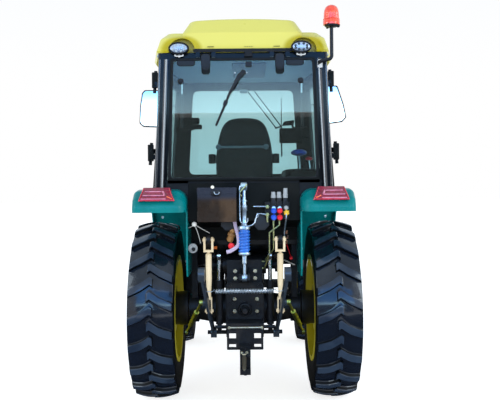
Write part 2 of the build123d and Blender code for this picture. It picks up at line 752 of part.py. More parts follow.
def save_cab():
    save("cab_tub", cab_tub())
    save("cab_rear_wall", cab_rear_wall())
    save("cab_posts", cab_posts())
    save("cab_roof_ring", cab_roof_ring())
    save("cab_glass", cab_glass())
    save("roof", roof())
    frame, pane = door_frame(), door_glass()
    save("door_right", frame)
    save("door_left", mirrored(frame))
    save("door_glass_right", pane)
    save("door_glass_left", mirrored(pane))
    save("rear_window_frame", rear_window_frame())
    save("rear_window_glass", rear_window_glass())
    save("seat", seat())
    save("dash", dash())
    save("steering_wheel", steering_wheel())


# ---- fenders, lamps, mirrors --------------------------------------------------------------
FENDER_OUTLINE = [
    (-606, 1200),
    (-606, 1374),
    (-580, 1425),
    (-505, 1476),
    (-420, FENDER_TOP_Z),
    (372, FENDER_TOP_Z),
    (602, 1202),
    (704, 930),
    (704, 700),
    (-300, 700),
]


FENDER_X = 727  # outer face


def fender_form(inset, x0, x1):
    """The fender's filled form between two widths, drawn in all over by an inset."""
    face = make_face(Polyline(*FENDER_OUTLINE, close=True))
    face = fillet([v for v in face.vertices() if v.Y > 1300 and v.X < 500], 50)
    if inset:
        face = offset(face, -inset)
    form = extrude(Plane.YZ.offset(x0) * face, amount=x1 - x0)
    upper = [e for e in form.edges() if e.center().Z > 1000 and e.center().Y > -600 + inset]
    inner = [e for e in upper if abs(e.center().X - x0) < 0.1]
    form = fillet(inner, 80 - inset)
    upper = [e for e in form.edges() if e.center().Z > 1000 and e.center().Y > -600 + inset]
    outer = [e for e in upper if abs(e.center().X - x1) < 0.1]
    return fillet(outer, 36 - inset)


def fender():
    """Right fender: a hollow pressing with a deep side lip and the wall beside the cab."""
    shell = fender_form(0, 376, FENDER_X) - fender_form(9, 385, FENDER_X - 9)
    below = [(-700, 700), (-700, 1335), (-572, 1335), (-556, 1372), (-500, 1416), (-410, 1432)]
    below += [(346, 1432), (552, 1182), (650, 900), (650, 700)]
    shell -= side_plate(below, 386, 760)
    wall = [(-452, 970), (-452, 1350), (500, 1350), (690, 960), (640, 900), (-330, 900)]
    shell -= side_plate([(-700, 1336), (-452, 1336), (-452, 600), (-700, 600)], 300, 400)
    shell -= side_plate([(-460, 600), (-460, 900), (800, 900), (800, 600)], 300, 760)
    return shell + side_plate(wall, 376, 386)


def tail_lamp():
    """Right tail lamp: a slanted, ribbed wedge on the fender's rear shoulder."""
    rear = [(-570, 1404), (-612, 1410), (-617, 1420), (-602, 1448)]
    wedge = rear + [(-536, 1497), (-500, 1497), (-490, 1470)]
    lamp = side_plate(wedge, 437, 687)
    lamp &= back_plate([(445, 1400), (679, 1400), (655, 1500), (485, 1500)], -640, -480, 8)
    for y, z in ((-606, 1441), (-586, 1461), (-563, 1478)):
        lamp -= bar_x(420, 700, y, z, 3)
    return lamp - fender_form(0, 376, FENDER_X)


def work_lamp(x, z):
    """An oval lamp facing rearwards from the roof ring, with a slightly domed lens."""
    body = extrude(Plane.XZ.offset(400) * Pos(x, z) * Ellipse(60, 35), amount=20)
    body += extrude(Plane.XZ.offset(420) * Pos(x, z) * Ellipse(67, 40), amount=36)
    rim = Plane.XZ.offset(456) * Pos(x, z) * Ellipse(61, 35)
    lens = loft([rim, Plane.XZ.offset(464) * Pos(x, z) * Ellipse(44, 24)])
    foot = block(x - 12, x + 12, -424, -400, 2372, z - 20)
    return body + lens + foot


RIGHT_MIRROR = [(735, 2042), (868, 2060), (903, 2100), (880, 2215), (828, 2378), (735, 2378)]
LEFT_MIRROR = [
    (735, 2024),
    (878, 2032),
    (909, 2062),
    (902, 2215),
    (884, 2328),
    (862, 2352),
    (735, 2352),
]


def mirror(outline):
    """A mirror on the right: an arm from the front post and an upright head."""
    x = side_x(1095, 2215)
    arm = pipe([(x - 25, 1095, 2215), (x + 40, 1160, 2215), (820, 1160, 2215)], 8, 30)
    return arm + back_plate(outline, 1132, 1160, 18)


def beacon_pole():
    """Bent tube from a bracket on the right rear post up to the beacon."""
    path = [(512, -405, 2326), (512, -462, 2326), (590, -462, 2342), (590, -462, 2552)]
    return pipe(path, 12, 28) + block(496, 536, -412, -400, 2285, 2352)


def beacon():
    """Rotating beacon: a collared base under a ribbed dome."""
    profile = [(0, 2552), (50, 2552), (56, 2562), (56, 2590), (51, 2598), (50, 2650)]
    dome = turned_z(profile + [(45, 2672), (34, 2688), (18, 2698), (0, 2701)])
    return Pos(590, -462, 0) * dome


def toolbox():
    """Tin toolbox on the cab's rear wall, its lid overhanging and held by a latch."""
    box = block(-304, -52, -518, -401, 1268, 1452)
    box += fillet(block(-309, -47, -524, -401, 1446, 1480).edges().filter_by(Axis.X), 10)
    box += block(-196, -156, -532, -522, 1432, 1462)
    return box + rod((-208, -480, 1478), (-208, -480, 1496), 9)


def trailer_socket():
    """Seven-pin socket facing the rear, on a strap from the left fender's wall."""
    socket = rod((-303, -384, 1090), (-303, -424, 1090), 28)
    socket += rod((-303, -418, 1090), (-303, -428, 1090), 32)
    return socket + block(-376, -300, -392, -384, 1076, 1104)


def save_fittings():
    save("fenders", both(fender()))
    save("tail_lamps", both(tail_lamp()))
    lamps = solids_of(work_lamp(-425, 2422)) + solids_of(work_lamp(390, 2426))
    save("work_lamps", Compound(children=lamps))
    heads = solids_of(mirror(RIGHT_MIRROR)) + solids_of(mirrored(mirror(LEFT_MIRROR)))
    save("mirrors", Compound(children=heads))
    save("beacon_pole", beacon_pole())
    save("beacon", beacon())
    save("toolbox", toolbox())
    save("trailer_socket", trailer_socket())
    save("valve_block", valve_block())
    save("hydraulic_pipes", hydraulic_pipes())


def valve_block():
    """Remote valve: three spools with caps on top, and couplers facing the rear."""
    valve = block(138, 304, -442, -401, 1282, 1404)
    for x, height in ((196, 1464), (235, 1464), (277, 1488)):
        valve += rod((x, -424, 1400), (x, -424, 1424), 18)
        valve += rod((x, -424, 1420), (x, -424, height), 16, 13)
    for x in (196, 235):
        for z in (1296, 1340):
            valve += rod((x, -440, z), (x, -488, z), 17)
    valve += rod((282, -440, 1324), (282, -478, 1324), 17)
    valve += rod((280, -440, 1358), (280, -466, 1358), 14)
    for z in (1311, 1364):
        valve += rod((154, -440, z), (154, -462, z), 14)
    return valve


def hydraulic_pipes():
    """Steel pipes from the valve down to the lift cover, and one across to the other side."""
    near = [(196, -425, 1281), (196, -425, 1080), (145, -370, 1010), (145, -290, 985), (120, -290, 985)]
    far = [(235, -425, 1281), (235, -425, 1240), (168, -425, 1190), (168, -425, 1050)]
    far += [(138, -390, 960), (138, -300, 940), (120, -300, 940)]
    across = [(139, -452, 1364), (60, -452, 1364), (60, -401, 1364)]
    runs = [pipe(route, 5, 11) for route in (near, far, across)]
    return Compound(children=[s for run in runs for s in run.solids()])


# ---- hitch --------------------------------------------------------------------------------
def lift_arms():
    """Rockshaft with a lift arm splined on each end."""
    y, z = ARM_AXIS
    tip = along(ARM_AXIS, LINK_ANGLE, ARM_LENGTH)
    ram = along(ARM_AXIS, LINK_ANGLE, CYLINDER_ARM)
    a = math.radians(LINK_ANGLE)
    across = (math.sin(a), math.cos(a))
    root_half, tip_half = 44, 26
    arm = side_plate(
        [
            (y + root_half * across[0], z + root_half * across[1]),
            (tip[0] + tip_half * across[0], tip[1] + tip_half * across[1]),
            (tip[0] - tip_half * across[0], tip[1] - tip_half * across[1]),
            (y - root_half * across[0], z - root_half * across[1]),
        ],
        225,
        250,
    )
    arm += bar_x(212, 258, y, z, 50) + bar_x(225, 250, *tip, 30)
    arm += bar_x(158, 226, *ram, 9) + bar_x(205, 226, *ram, 20)
    arm -= bar_x(220, 255, *tip, 10.3)
    shaft = bar_x(151, 212, y, z, 30)
    return shaft, arm


def link_x(distance):
    """X of the right lower link's middle at a distance behind its front pin."""
    return LINK_X + LINK_FLARE * (distance - ARM_LENGTH)


def lower_link():
    """Right lower link: a forged bar with a ball eye at each end and its outer lug."""
    rear = along(LINK_AXIS, LINK_ANGLE, LINK_LENGTH)
    pin = along(LINK_AXIS, LINK_ANGLE, ARM_LENGTH)
    lug = along(LINK_AXIS, LINK_ANGLE, 445)
    a = math.radians(LINK_ANGLE)
    across = (math.sin(a), math.cos(a))
    ends = [along(LINK_AXIS, LINK_ANGLE, d) for d in (20, 250, 560, LINK_LENGTH - 20)]
    halves = (22, 36, 34, 24)
    upper = [(p[0] + h * across[0], p[1] + h * across[1]) for p, h in zip(ends, halves)]
    lower = [(p[0] - h * across[0], p[1] - h * across[1]) for p, h in zip(ends, halves)]
    flat = Pos(-LINK_X, -pin[0], 0) * side_plate(upper + lower[::-1], LINK_X - 8, LINK_X + 8)
    yaw = math.degrees(math.atan(LINK_FLARE / math.cos(a)))
    bar = Pos(LINK_X, pin[0], 0) * Rot(0, 0, yaw) * flat
    front_x, rear_x, lug_x = link_x(0), link_x(LINK_LENGTH), link_x(445)
    bar += bar_x(front_x - 20, front_x + 20, *LINK_AXIS, 38)
    bar += bar_x(rear_x - 20, rear_x + 20, *rear, 45)
    bar += bar_x(lug_x, lug_x + 30, *lug, 20)
    bar -= bar_x(front_x - 30, front_x + 30, *LINK_AXIS, 14.3)
    bar -= bar_x(rear_x - 30, rear_x + 30, *rear, 11.2)
    return bar - bar_x(LINK_X - 30, LINK_X + 30, *pin, 11.3)


def lift_rod():
    """Right lift rod: forked at both ends round a stout adjusting tube, with both its pins."""
    top = along(ARM_AXIS, LINK_ANGLE, ARM_LENGTH)
    foot = along(LINK_AXIS, LINK_ANGLE, ARM_LENGTH)
    rise = (0, top[0] - foot[0], top[1] - foot[1])
    length = math.hypot(rise[1], rise[2])
    frame = Plane(origin=(LINK_X, foot[0], foot[1]), x_dir=(1, 0, 0), z_dir=rise)
    profile = [(0, 78), (13, 78), (14, 120), (20, length - 260), (20, length - 96), (11, length - 88)]
    bar = turned_z(profile + [(11, length - 66), (0, length - 66)])
    for side in (-1, 1):
        upper = Pos(side * 26, 0, length - 36) * Box(14, 40, 72)
        upper += Rot(0, 90, 0) * Pos(-length, 0, side * 26) * Cylinder(20, 14)
        lower = Pos(side * 16.5, 0, 42) * Box(8, 40, 84)
        bar += upper + lower + Rot(0, 90, 0) * Pos(0, 0, side * 16.5) * Cylinder(20, 8)
    bar += Pos(0, 0, length - 72) * Box(66, 40, 14) + Pos(0, 0, 84) * Box(41, 40, 12)
    bar += Rot(0, 90, 0) * Pos(-length, 0, 0) * Cylinder(10, 78)
    bar += Rot(0, 90, 0) * Cylinder(11, 56)
    return frame * bar


def cylinder_frame():
    """Plane at the lift cylinder's foot pin, its z along the cylinder, and its raised length."""
    ram = along(ARM_AXIS, LINK_ANGLE, CYLINDER_ARM)
    y, z = CYLINDER_FOOT
    plane = Plane(origin=(CYLINDER_X, y, z), x_dir=(1, 0, 0), z_dir=(0, ram[0] - y, ram[1] - z))
    return plane, math.hypot(ram[0] - y, ram[1] - z)


def lift_barrel():
    plane, _ = cylinder_frame()
    barrel = Pos(0, 0, 170) * Cylinder(25, 300) + Rot(0, 90, 0) * Cylinder(26, 30)
    barrel -= Rot(0, 90, 0) * Cylinder(12.3, 60)
    return plane * (barrel - Pos(0, 0, 215) * Cylinder(14.5, 230))


def lift_piston():
    plane, length = cylinder_frame()
    stroke_foot, eye_radius = 215, 28
    piston = Pos(0, 0, (stroke_foot + length - 26) / 2) * Cylinder(14, length - 26 - stroke_foot)
    piston += Rot(0, 90, 0) * Pos(-length, 0, 0) * Cylinder(eye_radius, 24)
    return plane * (piston - Rot(0, 90, 0) * Pos(-length, 0, 0) * Cylinder(18, 60))


def link_spring():
    """Spring that draws the two lower links together, shown as its coils' outline."""
    y, z = along(LINK_AXIS, LINK_ANGLE, 600)
    coils, inner, outer, span = 22, 11, 17, 180
    profile = [(-span, 0), (-span, inner)]
    for k in range(coils):
        profile.append((-span + (k + 0.5) * 2 * span / coils, outer))
        profile.append((-span + (k + 1) * 2 * span / coils, inner))
    profile.append((span, 0))
    reach = link_x(600) - 8.5
    return turned_x(profile, y, z) + bar_x(-reach, reach, y, z, 4)


def stabiliser():
    """Right check link: a turnbuckle between the axle bracket and the lower link's lug."""
    y, z = LINK_AXIS
    lug = along(LINK_AXIS, LINK_ANGLE, 445)
    lug_x = link_x(445) + 42
    a, b = Vector(STABILISER_PIN_X, y, z), Vector(lug_x, *lug)
    tube = rod(a, b, 9) + rod(a + (b - a) * 0.26, a + (b - a) * 0.70, 17)
    tube += bar_x(STABILISER_PIN_X - 9, STABILISER_PIN_X + 9, y, z, 20)
    tube += bar_x(lug_x - 11, lug_x + 11, *lug, 19)
    return tube - bar_x(390, 430, y, z, 9.3)


def top_link():
    """Stowed top link: eyes, a sprung middle between two flanges and a slim upper tube."""
    y, z = TOP_LINK_FOOT
    eye_y, eye_z = TOP_LINK_EYE
    length = math.hypot(eye_y - y, eye_z - z)
    frame = Plane(origin=(0, y, z), x_dir=(1, 0, 0), z_dir=(0, eye_y - y, eye_z - z))
    coils, foot, head = 7, 170, 318
    profile = [(0, 18), (10, 18), (10, 84), (16, 90), (16, foot - 22), (40, foot - 18)]
    profile += [(41, foot), (30, foot)]
    for k in range(coils):
        profile.append((36, foot + (k + 0.5) * (head - foot) / coils))
        profile.append((29, foot + (k + 1) * (head - foot) / coils))
    profile += [(40, head), (40, head + 12), (30, head + 24), (16, head + 34), (15, 500), (20, 504)]
    link = turned_z(profile + [(20, 516), (12, 522), (12, length - 16), (0, length - 16)])
    link += Rot(0, 90, 0) * Cylinder(24, 40) + Rot(0, 90, 0) * Pos(-length, 0, 0) * Cylinder(28, 42)
    link -= Rot(0, 90, 0) * Cylinder(11.3, 60)
    return frame * (link - Rot(0, 90, 0) * Pos(-length, 0, 0) * Cylinder(9.7, 60))


def drawbar():
    """Drawbar hanger bolted under the housing, the bar, and its clevis with the hitch pin."""
    face = back_plate([(-120, 426), (120, 426), (120, 598), (-120, 598)], -500, -486, 6)
    for x in (-83, 83):
        face -= block(x - 23, x + 23, -510, -480, 500, 534)
        face -= block(x - 23, x + 23, -510, -480, 443, 463)
    hanger = face
    for x0, x1 in ((-120, -108), (108, 120)):
        side = [(-490, 426), (-490, 598), (-346, 598), (-331, 580), (-331, 440), (-346, 426)]
        hanger += side_plate(side, x0, x1)
    hanger += block(-120, 120, -488, -331, 584, 598) + block(-52, 52, -488, -331, 426, 438)
    tongue = block(-34, 34, -610, -331, 440, 470)
    jaw = block(-34, 34, -700, -590, 310, 462) - block(-40, 40, -710, -620, 346, 426)
    pin = rod((0, -662, 300), (0, -662, 478), 11)
    return hanger + tongue + jaw + pin


def save_hitch():
    shaft, arm = lift_arms()
    right = shaft + arm
    save("lift_arms", both(right))
    save("lower_links", both(lower_link()))
    save("lift_rods", both(lift_rod()))
    save("lift_barrels", both(lift_barrel()))
    save("lift_pistons", both(lift_piston()))
    save("link_spring", link_spring())
    save("stabilisers", both(stabiliser()))
    save("top_link", top_link())
    save("drawbar", drawbar())


os.makedirs("parts", exist_ok=True)
save_wheels()
save_chassis()
save_hood()
save_cab()
save_fittings()
save_hitch()
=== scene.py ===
"""A 50 hp class farm tractor seen from behind, dressed over its CAD frame.

Metres: +X is the tractor's right, +Y the way it drives, +Z up, and the floor is Z = 0.
"""

import math

import bmesh
import bpy
import numpy as np
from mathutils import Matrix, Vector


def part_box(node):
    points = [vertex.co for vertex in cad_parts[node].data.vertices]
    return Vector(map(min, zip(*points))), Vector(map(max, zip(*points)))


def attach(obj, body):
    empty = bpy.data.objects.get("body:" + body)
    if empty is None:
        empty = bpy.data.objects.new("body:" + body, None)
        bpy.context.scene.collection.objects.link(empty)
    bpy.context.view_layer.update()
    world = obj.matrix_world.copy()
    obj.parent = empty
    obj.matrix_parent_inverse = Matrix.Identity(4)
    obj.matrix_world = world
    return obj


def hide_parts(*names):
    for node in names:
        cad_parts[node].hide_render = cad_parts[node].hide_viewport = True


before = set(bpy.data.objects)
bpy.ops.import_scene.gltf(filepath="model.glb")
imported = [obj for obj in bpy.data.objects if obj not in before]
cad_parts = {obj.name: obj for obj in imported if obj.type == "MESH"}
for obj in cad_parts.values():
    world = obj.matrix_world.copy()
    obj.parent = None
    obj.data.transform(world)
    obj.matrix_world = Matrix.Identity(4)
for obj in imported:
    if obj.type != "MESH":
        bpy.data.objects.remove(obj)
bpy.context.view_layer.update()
scene = bpy.context.scene

# ---- Camera -------------------------------------------------------------------------------
# A level camera at standing height, square behind the tractor. The view is leaned by half a
# degree, and shifted a little because the tractor doesn't stand in the middle of the view.
REAR_AXLE_Y = -0.935
VIEWER_BEHIND_AXLE, EYE_HEIGHT, LEAN = 5.4, 1.5, math.radians(0.5)
view = bpy.data.cameras.new("view_from_behind")
view.sensor_width = 36.0
view.lens = 53.64
view.shift_x, view.shift_y = 0.0124, -0.027
viewer = bpy.data.objects.new("view_from_behind", view)
viewer.location = (0.0, REAR_AXLE_Y - VIEWER_BEHIND_AXLE, EYE_HEIGHT)
viewer.rotation_euler = (math.radians(90.0), LEAN, 0.0)
scene.collection.objects.link(viewer)
scene.camera = viewer
scene.view_settings.view_transform = "Standard"


# ---- Floor --------------------------------------------------------------------------------
# A white light-table floor, faintly lit from below so that the shade under the tractor stays
# pale, with a dark carpet, and a dark board under a blue one, which only polished surfaces
# mirror. All are staging, not part of the tractor.
class Shade:
    """A number, colour or direction that varies over a surface: one output socket of a node.

    Arithmetic on a Shade adds Math nodes, so a formula in a material reads as a formula.
    """

    def __init__(self, socket):
        self.socket = socket
        self.tree = socket.id_data

    def node(self, kind, settings=None, inputs=None, out=0):
        """A new node in the same tree: its settings, then its inputs by name or by number."""
        made = self.tree.nodes.new(kind)
        for name, value in (settings or {}).items():
            setattr(made, name, value)
        for name, value in (inputs or {}).items():
            if isinstance(value, Shade):
                self.tree.links.new(value.socket, made.inputs[name])
            elif isinstance(value, tuple) and len(value) == 3 and made.inputs[name].type == "RGBA":
                made.inputs[name].default_value = (*value, 1.0)
            else:
                made.inputs[name].default_value = value
        return Shade(made.outputs[out])

    def math(self, operation, *values):
        """This number and the values through one Math node."""
        values = dict(enumerate((self, *values)))
        return self.node("ShaderNodeMath", {"operation": operation}, values)

    def __add__(self, other):
        return self.math("ADD", other)

    def __sub__(self, other):
        return self.math("SUBTRACT", other)

    def __rsub__(self, other):
        return self * -1.0 + other

    def __mul__(self, other):
        return self.math("MULTIPLY", other)

    def __truediv__(self, other):
        return self.math("DIVIDE", other)

    __radd__, __rmul__ = __add__, __mul__

    def wave(self, length):
        """0 to 1 and back, once in each length."""
        return self.math("MULTIPLY", 2 * math.pi / length).math("SINE") * 0.5 + 0.5

    def steps(self, low, high):
        """0 below low, 1 above high, and a smooth rise between."""
        names = {"Value": self, "From Min": low, "From Max": high}
        return self.node("ShaderNodeMapRange", {"interpolation_type": "SMOOTHSTEP"}, names)

    def between(self, low, high):
        """This number, from 0 to 1, as one from low to high."""
        return self * (high - low) + low

    def tint(self, first, second):
        """A colour that goes from first to second as this number goes from 0 to 1."""
        settings = {"data_type": "RGBA", "clamp_factor": True}
        return self.node("ShaderNodeMix", settings, {0: self, 6: first, 7: second}, out=2)

    def noise(self, scale, detail=2.0, roughness=0.5):
        names = {"Vector": self, "Scale": scale, "Detail": detail, "Roughness": roughness}
        return self.node("ShaderNodeTexNoise", None, names)

    def stretched(self, scale):
        """These coordinates scaled by a factor along each axis."""
        return self.node("ShaderNodeVectorMath", {"operation": "MULTIPLY"}, {0: self, 1: scale})

    def along(self, axis):
        return self.node("ShaderNodeSeparateXYZ", None, {0: self}, out="XYZ".index(axis))

    def bump(self, height, distance):
        """A normal that follows this height, in metres once multiplied by distance."""
        names = {"Height": self, "Strength": height, "Distance": distance}
        return self.node("ShaderNodeBump", None, names)


def finish(name, metallic=0.0, coat=0.0, coat_roughness=0.1, **sockets):
    """A new material: its shader, and Object coordinates as a Shade to build its pattern on."""
    material = bpy.data.materials.new(name)
    material.use_nodes = True
    shader = material.node_tree.nodes["Principled BSDF"]
    shader.inputs["Metallic"].default_value = metallic
    shader.inputs["Coat Weight"].default_value = coat
    shader.inputs["Coat Roughness"].default_value = coat_roughness
    for socket, value in sockets.items():
        shader.inputs[socket.replace("_", " ")].default_value = value
    place = Shade(material.node_tree.nodes.new("ShaderNodeTexCoord").outputs["Object"])
    return material, shader, place


def wire(shader, **shades):
    """Links each Shade to the shader's socket of that name."""
    for socket, shade in shades.items():
        shader.id_data.links.new(shade.socket, shader.inputs[socket.replace("_", " ")])


def sheet(grid, close_u=False, close_v=True):
    """Points and quads of a grid, or of a stack of like grids: u down the rows and v along
    them, each closed into a ring where asked."""
    grid = np.asarray(grid, float)
    rows, columns = grid.shape[-3:-1]
    u = np.arange(rows if close_u else rows - 1)
    v = np.arange(columns if close_v else columns - 1)
    u0, v0 = (a.ravel() for a in np.meshgrid(u, v, indexing="ij"))
    u1, v1 = (u0 + 1) % rows, (v0 + 1) % columns
    quads = np.stack([u0 * columns + v0, u0 * columns + v1, u1 * columns + v1, u1 * columns + v0])
    copies = grid.reshape(-1, rows * columns, 3)
    quads = quads.T[None] + (np.arange(len(copies)) * rows * columns)[:, None, None]
    return copies.reshape(-1, 3), quads.reshape(-1, 4)


def surface(name, material, *shapes, sharp=38.0):
    """One mesh from grids, or from sheets made of them. Rows whose points all meet become poles
    once doubles are merged, faces turn outwards, and edges sharper than an angle stay crisp."""
    sheets = [shape if isinstance(shape, tuple) else sheet(shape) for shape in shapes]
    starts = np.cumsum([0] + [len(points) for points, _ in sheets])
    points = np.concatenate([points for points, _ in sheets])
    quads = np.concatenate([quads + start for (_, quads), start in zip(sheets, starts)])
    mesh = bpy.data.meshes.new(name)
    mesh.from_pydata(points.tolist(), [], quads.tolist())
    shape = bmesh.new()
    shape.from_mesh(mesh)
    bmesh.ops.remove_doubles(shape, verts=shape.verts, dist=1e-6)
    bmesh.ops.recalc_face_normals(shape, faces=shape.faces)
    shape.to_mesh(mesh)
    shape.free()
    mesh.polygons.foreach_set("use_smooth", np.ones(len(mesh.polygons), bool))
    mesh.set_sharp_from_angle(angle=math.radians(sharp))
    mesh.materials.append(material)
    piece = bpy.data.objects.new(name, mesh)
    scene.collection.objects.link(piece)
    return piece


def disc(radius, height, rings=12, around=48):
    """A level disc: distance from the middle down the rows, and the angle along them."""
    r = np.linspace(0.0, radius, rings)[:, None]
    a = np.linspace(0.0, 2 * math.pi, around, endpoint=False)[None, :]
    return np.stack(np.broadcast_arrays(r * np.cos(a), r * np.sin(a), height), -1)


paper, shader, place = finish(
    "light_table", Roughness=0.9, Specular_IOR_Level=0.0, Emission_Strength=0.78
)
shader.inputs["Emission Color"].default_value = (1.0, 1.0, 1.0, 1.0)
wire(shader, Base_Color=place.noise(0.6).tint((0.60, 0.60, 0.61), (0.66, 0.66, 0.66)))
surface("light_table_floor", paper, disc(70.0, 0.0))

board_black, shader, place = finish("board_black", Roughness=0.95, Specular_IOR_Level=0.0)
wire(shader, Base_Color=place.noise(2.0).tint((0.03, 0.03, 0.035), (0.05, 0.05, 0.055)))

# the sky that the glass and the polished black mirror: pale over the board, deep blue above it
sky_blue, shader, place = finish("sky_blue", Specular_IOR_Level=0.0, Emission_Strength=1.0)
shader.inputs["Base Color"].default_value = (0.0, 0.0, 0.0, 1.0)
height = (place.along("Z") + 0.5 * place.noise(0.35, 3.0)).steps(3.2, 4.4)
wire(shader, Emission_Color=height.tint((4.4, 7.2, 8.6), (0.40, 1.3, 3.3)))

BOARD_Y = -12.5
u, v = np.meshgrid(np.linspace(0.0, 1.0, 5), np.linspace(0.0, 1.0, 4))
for name, material, grid in (
    ("dark_board", board_black, (16.0 * u - 8.0, 0.0 * u + BOARD_Y, 0.9 + 2.1 * v)),
    ("dark_carpet", board_black, (24.0 * u - 12.0, BOARD_Y + 20.0 * v, 0.0 * u + 0.002)),
    ("sky_board", sky_blue, (17.0 * u - 8.5, 0.0 * u + BOARD_Y, 3.1 + 5.0 * v)),
):
    board = surface(name, material, sheet(np.stack(grid, -1), close_v=False))
    board.visible_camera = board.visible_diffuse = board.visible_shadow = False
    board.visible_transmission = False

# ---- Light --------------------------------------------------------------------------------
# A white tent all round, a broad soft lamp high behind the viewer, and a narrower one on each
# side, which draws the long highlights down the posts.
tent = bpy.data.worlds.new("tent")
tent.use_nodes = True
scene.world = tent
sky = Shade(tent.node_tree.nodes.new("ShaderNodeTexCoord").outputs["Generated"])
tent_colour = sky.along("Z").steps(0.1, 0.8).tint((1.0, 1.0, 1.0), (0.72, 0.87, 1.0))
backdrop = tent.node_tree.nodes["Background"]
tent.node_tree.links.new(tent_colour.socket, backdrop.inputs["Color"])
backdrop.inputs["Strength"].default_value = 1.0

for name, place_at, aim_at, size, power, colour in (
    ("high_lamp", (0.0, -12.6, 5.6), (0.0, -0.9, 5.0), (16.0, 5.0), 330.0, (0.86, 0.94, 1.0)),
    ("left_lamp", (-5.0, -3.6, 3.2), (0.0, -0.9, 1.4), (1.2, 3.4), 80.0, (0.74, 0.88, 1.0)),
    ("right_lamp", (5.0, -4.2, 3.2), (0.0, -0.9, 1.4), (1.2, 3.4), 100.0, (0.74, 0.88, 1.0)),
):
    lamp = bpy.data.lights.new(name, "AREA")
    lamp.shape = "RECTANGLE"
    lamp.size, lamp.size_y = size
    lamp.energy = power
    lamp.color = colour
    lamp_object = bpy.data.objects.new(name, lamp)
    lamp_object.location = place_at
    aim = np.array(aim_at) - np.array(place_at)
    lamp_object.rotation_euler = (
        math.atan2(math.hypot(aim[0], aim[1]), -aim[2]),
        0.0,
        math.atan2(aim[1], aim[0]) - math.pi / 2,
    )
    lamp_object.visible_camera = False
    scene.collection.objects.link(lamp_object)


# ---- Tyres --------------------------------------------------------------------------------
# Cross-ply traction tyres: black rubber with tall slanting lugs, those of one half set midway
# between those of the other, moulded in one with the casing and seated on the rims' flanges.
HANDS = (("left", -1.0), ("right", 1.0))


def piece(name, slot, material, *shapes, on="tractor", replaces=None, sharp=38.0):
    """A piece made of shapes, which moves with a body and may stand for a CAD node. The slot is
    not used."""
    made = surface(name, material, *shapes, sharp=sharp)
    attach(made, on)
    if replaces:
        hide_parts(replaces)
    return made


def box_of(node):
    """The low and the high corner of a CAD node's box."""
    return (np.array(corner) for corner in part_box(node))


def curve_through(points, count):
    """A smooth line through the points, by Catmull and Rom's formula, at count places on it."""
    p = np.asarray(points, float)
    p = np.vstack([2 * p[0] - p[1], p, 2 * p[-1] - p[-2]])
    t = np.linspace(0.0, len(points) - 1.0 - 1e-9, count)
    i, f = t.astype(int), (t % 1.0)[:, None]
    a, b, c, d = p[i], p[i + 1], p[i + 2], p[i + 3]
    square, cube = 2 * a - 5 * b + 4 * c - d, 3 * b - a - 3 * c + d
    return 0.5 * (2 * b + (c - a) * f + square * f**2 + cube * f**3)


def ease(x):
    """0 up to 0, 1 from 1, and a smooth rise between."""
    x = np.clip(x, 0.0, 1.0)
    return x * x * (3.0 - 2.0 * x)


def lugged_casing(centre, radius, half_width, bead_radius, bead_half, lugs, lug_height):
    """Radius = casing's own radius + lug height, over places across (closed through the beads)
    and round the tyre. The grid is slanted so that its lines run along the lugs' edges."""
    # across: shares of the half width, close together where the lugs' noses and heels rise
    x = np.array([0, 0.05, 0.09, 0.11, 0.125, 0.14, 0.17, 0.26, 0.38, 0.5, 0.62, 0.74, 0.84, 0.90])
    x = np.concatenate([x, [0.93, 0.95, 0.965]])
    tread = np.stack([x * half_width, radius * (1 - 0.05 * x**2) - lug_height], 1)
    drop = radius * 0.8 - bead_radius
    wall = curve_through([
        (0.978 * half_width, radius * 0.897),
        (0.998 * half_width, radius * 0.86),
        (1.0 * half_width, radius * 0.80),
        (0.985 * half_width, bead_radius + drop * 0.62),
        (0.945 * half_width, bead_radius + drop * 0.30),
        (0.925 * half_width, bead_radius + drop * 0.20),
        (bead_half + 0.006, bead_radius + 0.020),
        (bead_half - 0.003, bead_radius + 0.002),
    ], 18)
    half = np.vstack([tread, wall, [[bead_half * 0.8, bead_radius + 0.0005]]])
    across = np.vstack([half, (half * [-1, 1])[:0:-1]])
    side = np.clip(across[:, 0] / half_width, -1.0, 1.0)
    on_tread = across[:, 1] > radius * 0.88
    trail = np.interp(np.abs(side), [0.0, 0.40, 0.95], [0.0, 0.215, 0.395])

    # round: in pitches of a lug, close together over each lug's two flanks
    top_half, flank_length = 0.128, 0.034
    flank = np.array([0.168, 0.160, 0.153, 0.146, 0.138, 0.130, 0.118, 0.06])
    one_lug = np.concatenate([-flank, [0.0], flank[::-1]])
    turn = np.concatenate([one_lug, [0.25], one_lug + 0.5, [0.75]])
    turn = (np.arange(lugs)[:, None] + turn[None, :]).ravel()
    height = np.zeros((len(turn), len(side)))
    for hand, start in ((1.0, 0.0), (-1.0, 0.5)):
        off = np.abs((turn - start + 0.5) % 1.0 - 0.5)
        ridge = ease((top_half + flank_length - off) / flank_length)
        nose, heel = (hand * side + 0.145) / 0.04, (0.985 - hand * side) / 0.055
        reach = ease(nose) * ease(heel) * on_tread
        height = np.maximum(height, ridge[:, None] * reach[None, :])
    angle = (turn[:, None] + trail[None, :] + 0.08) * (2 * math.pi / lugs)
    r = across[None, :, 1] + lug_height * height
    x = np.broadcast_to(across[None, :, 0], r.shape)
    return centre + np.stack([x, r * np.cos(angle), r * np.sin(angle)], -1)


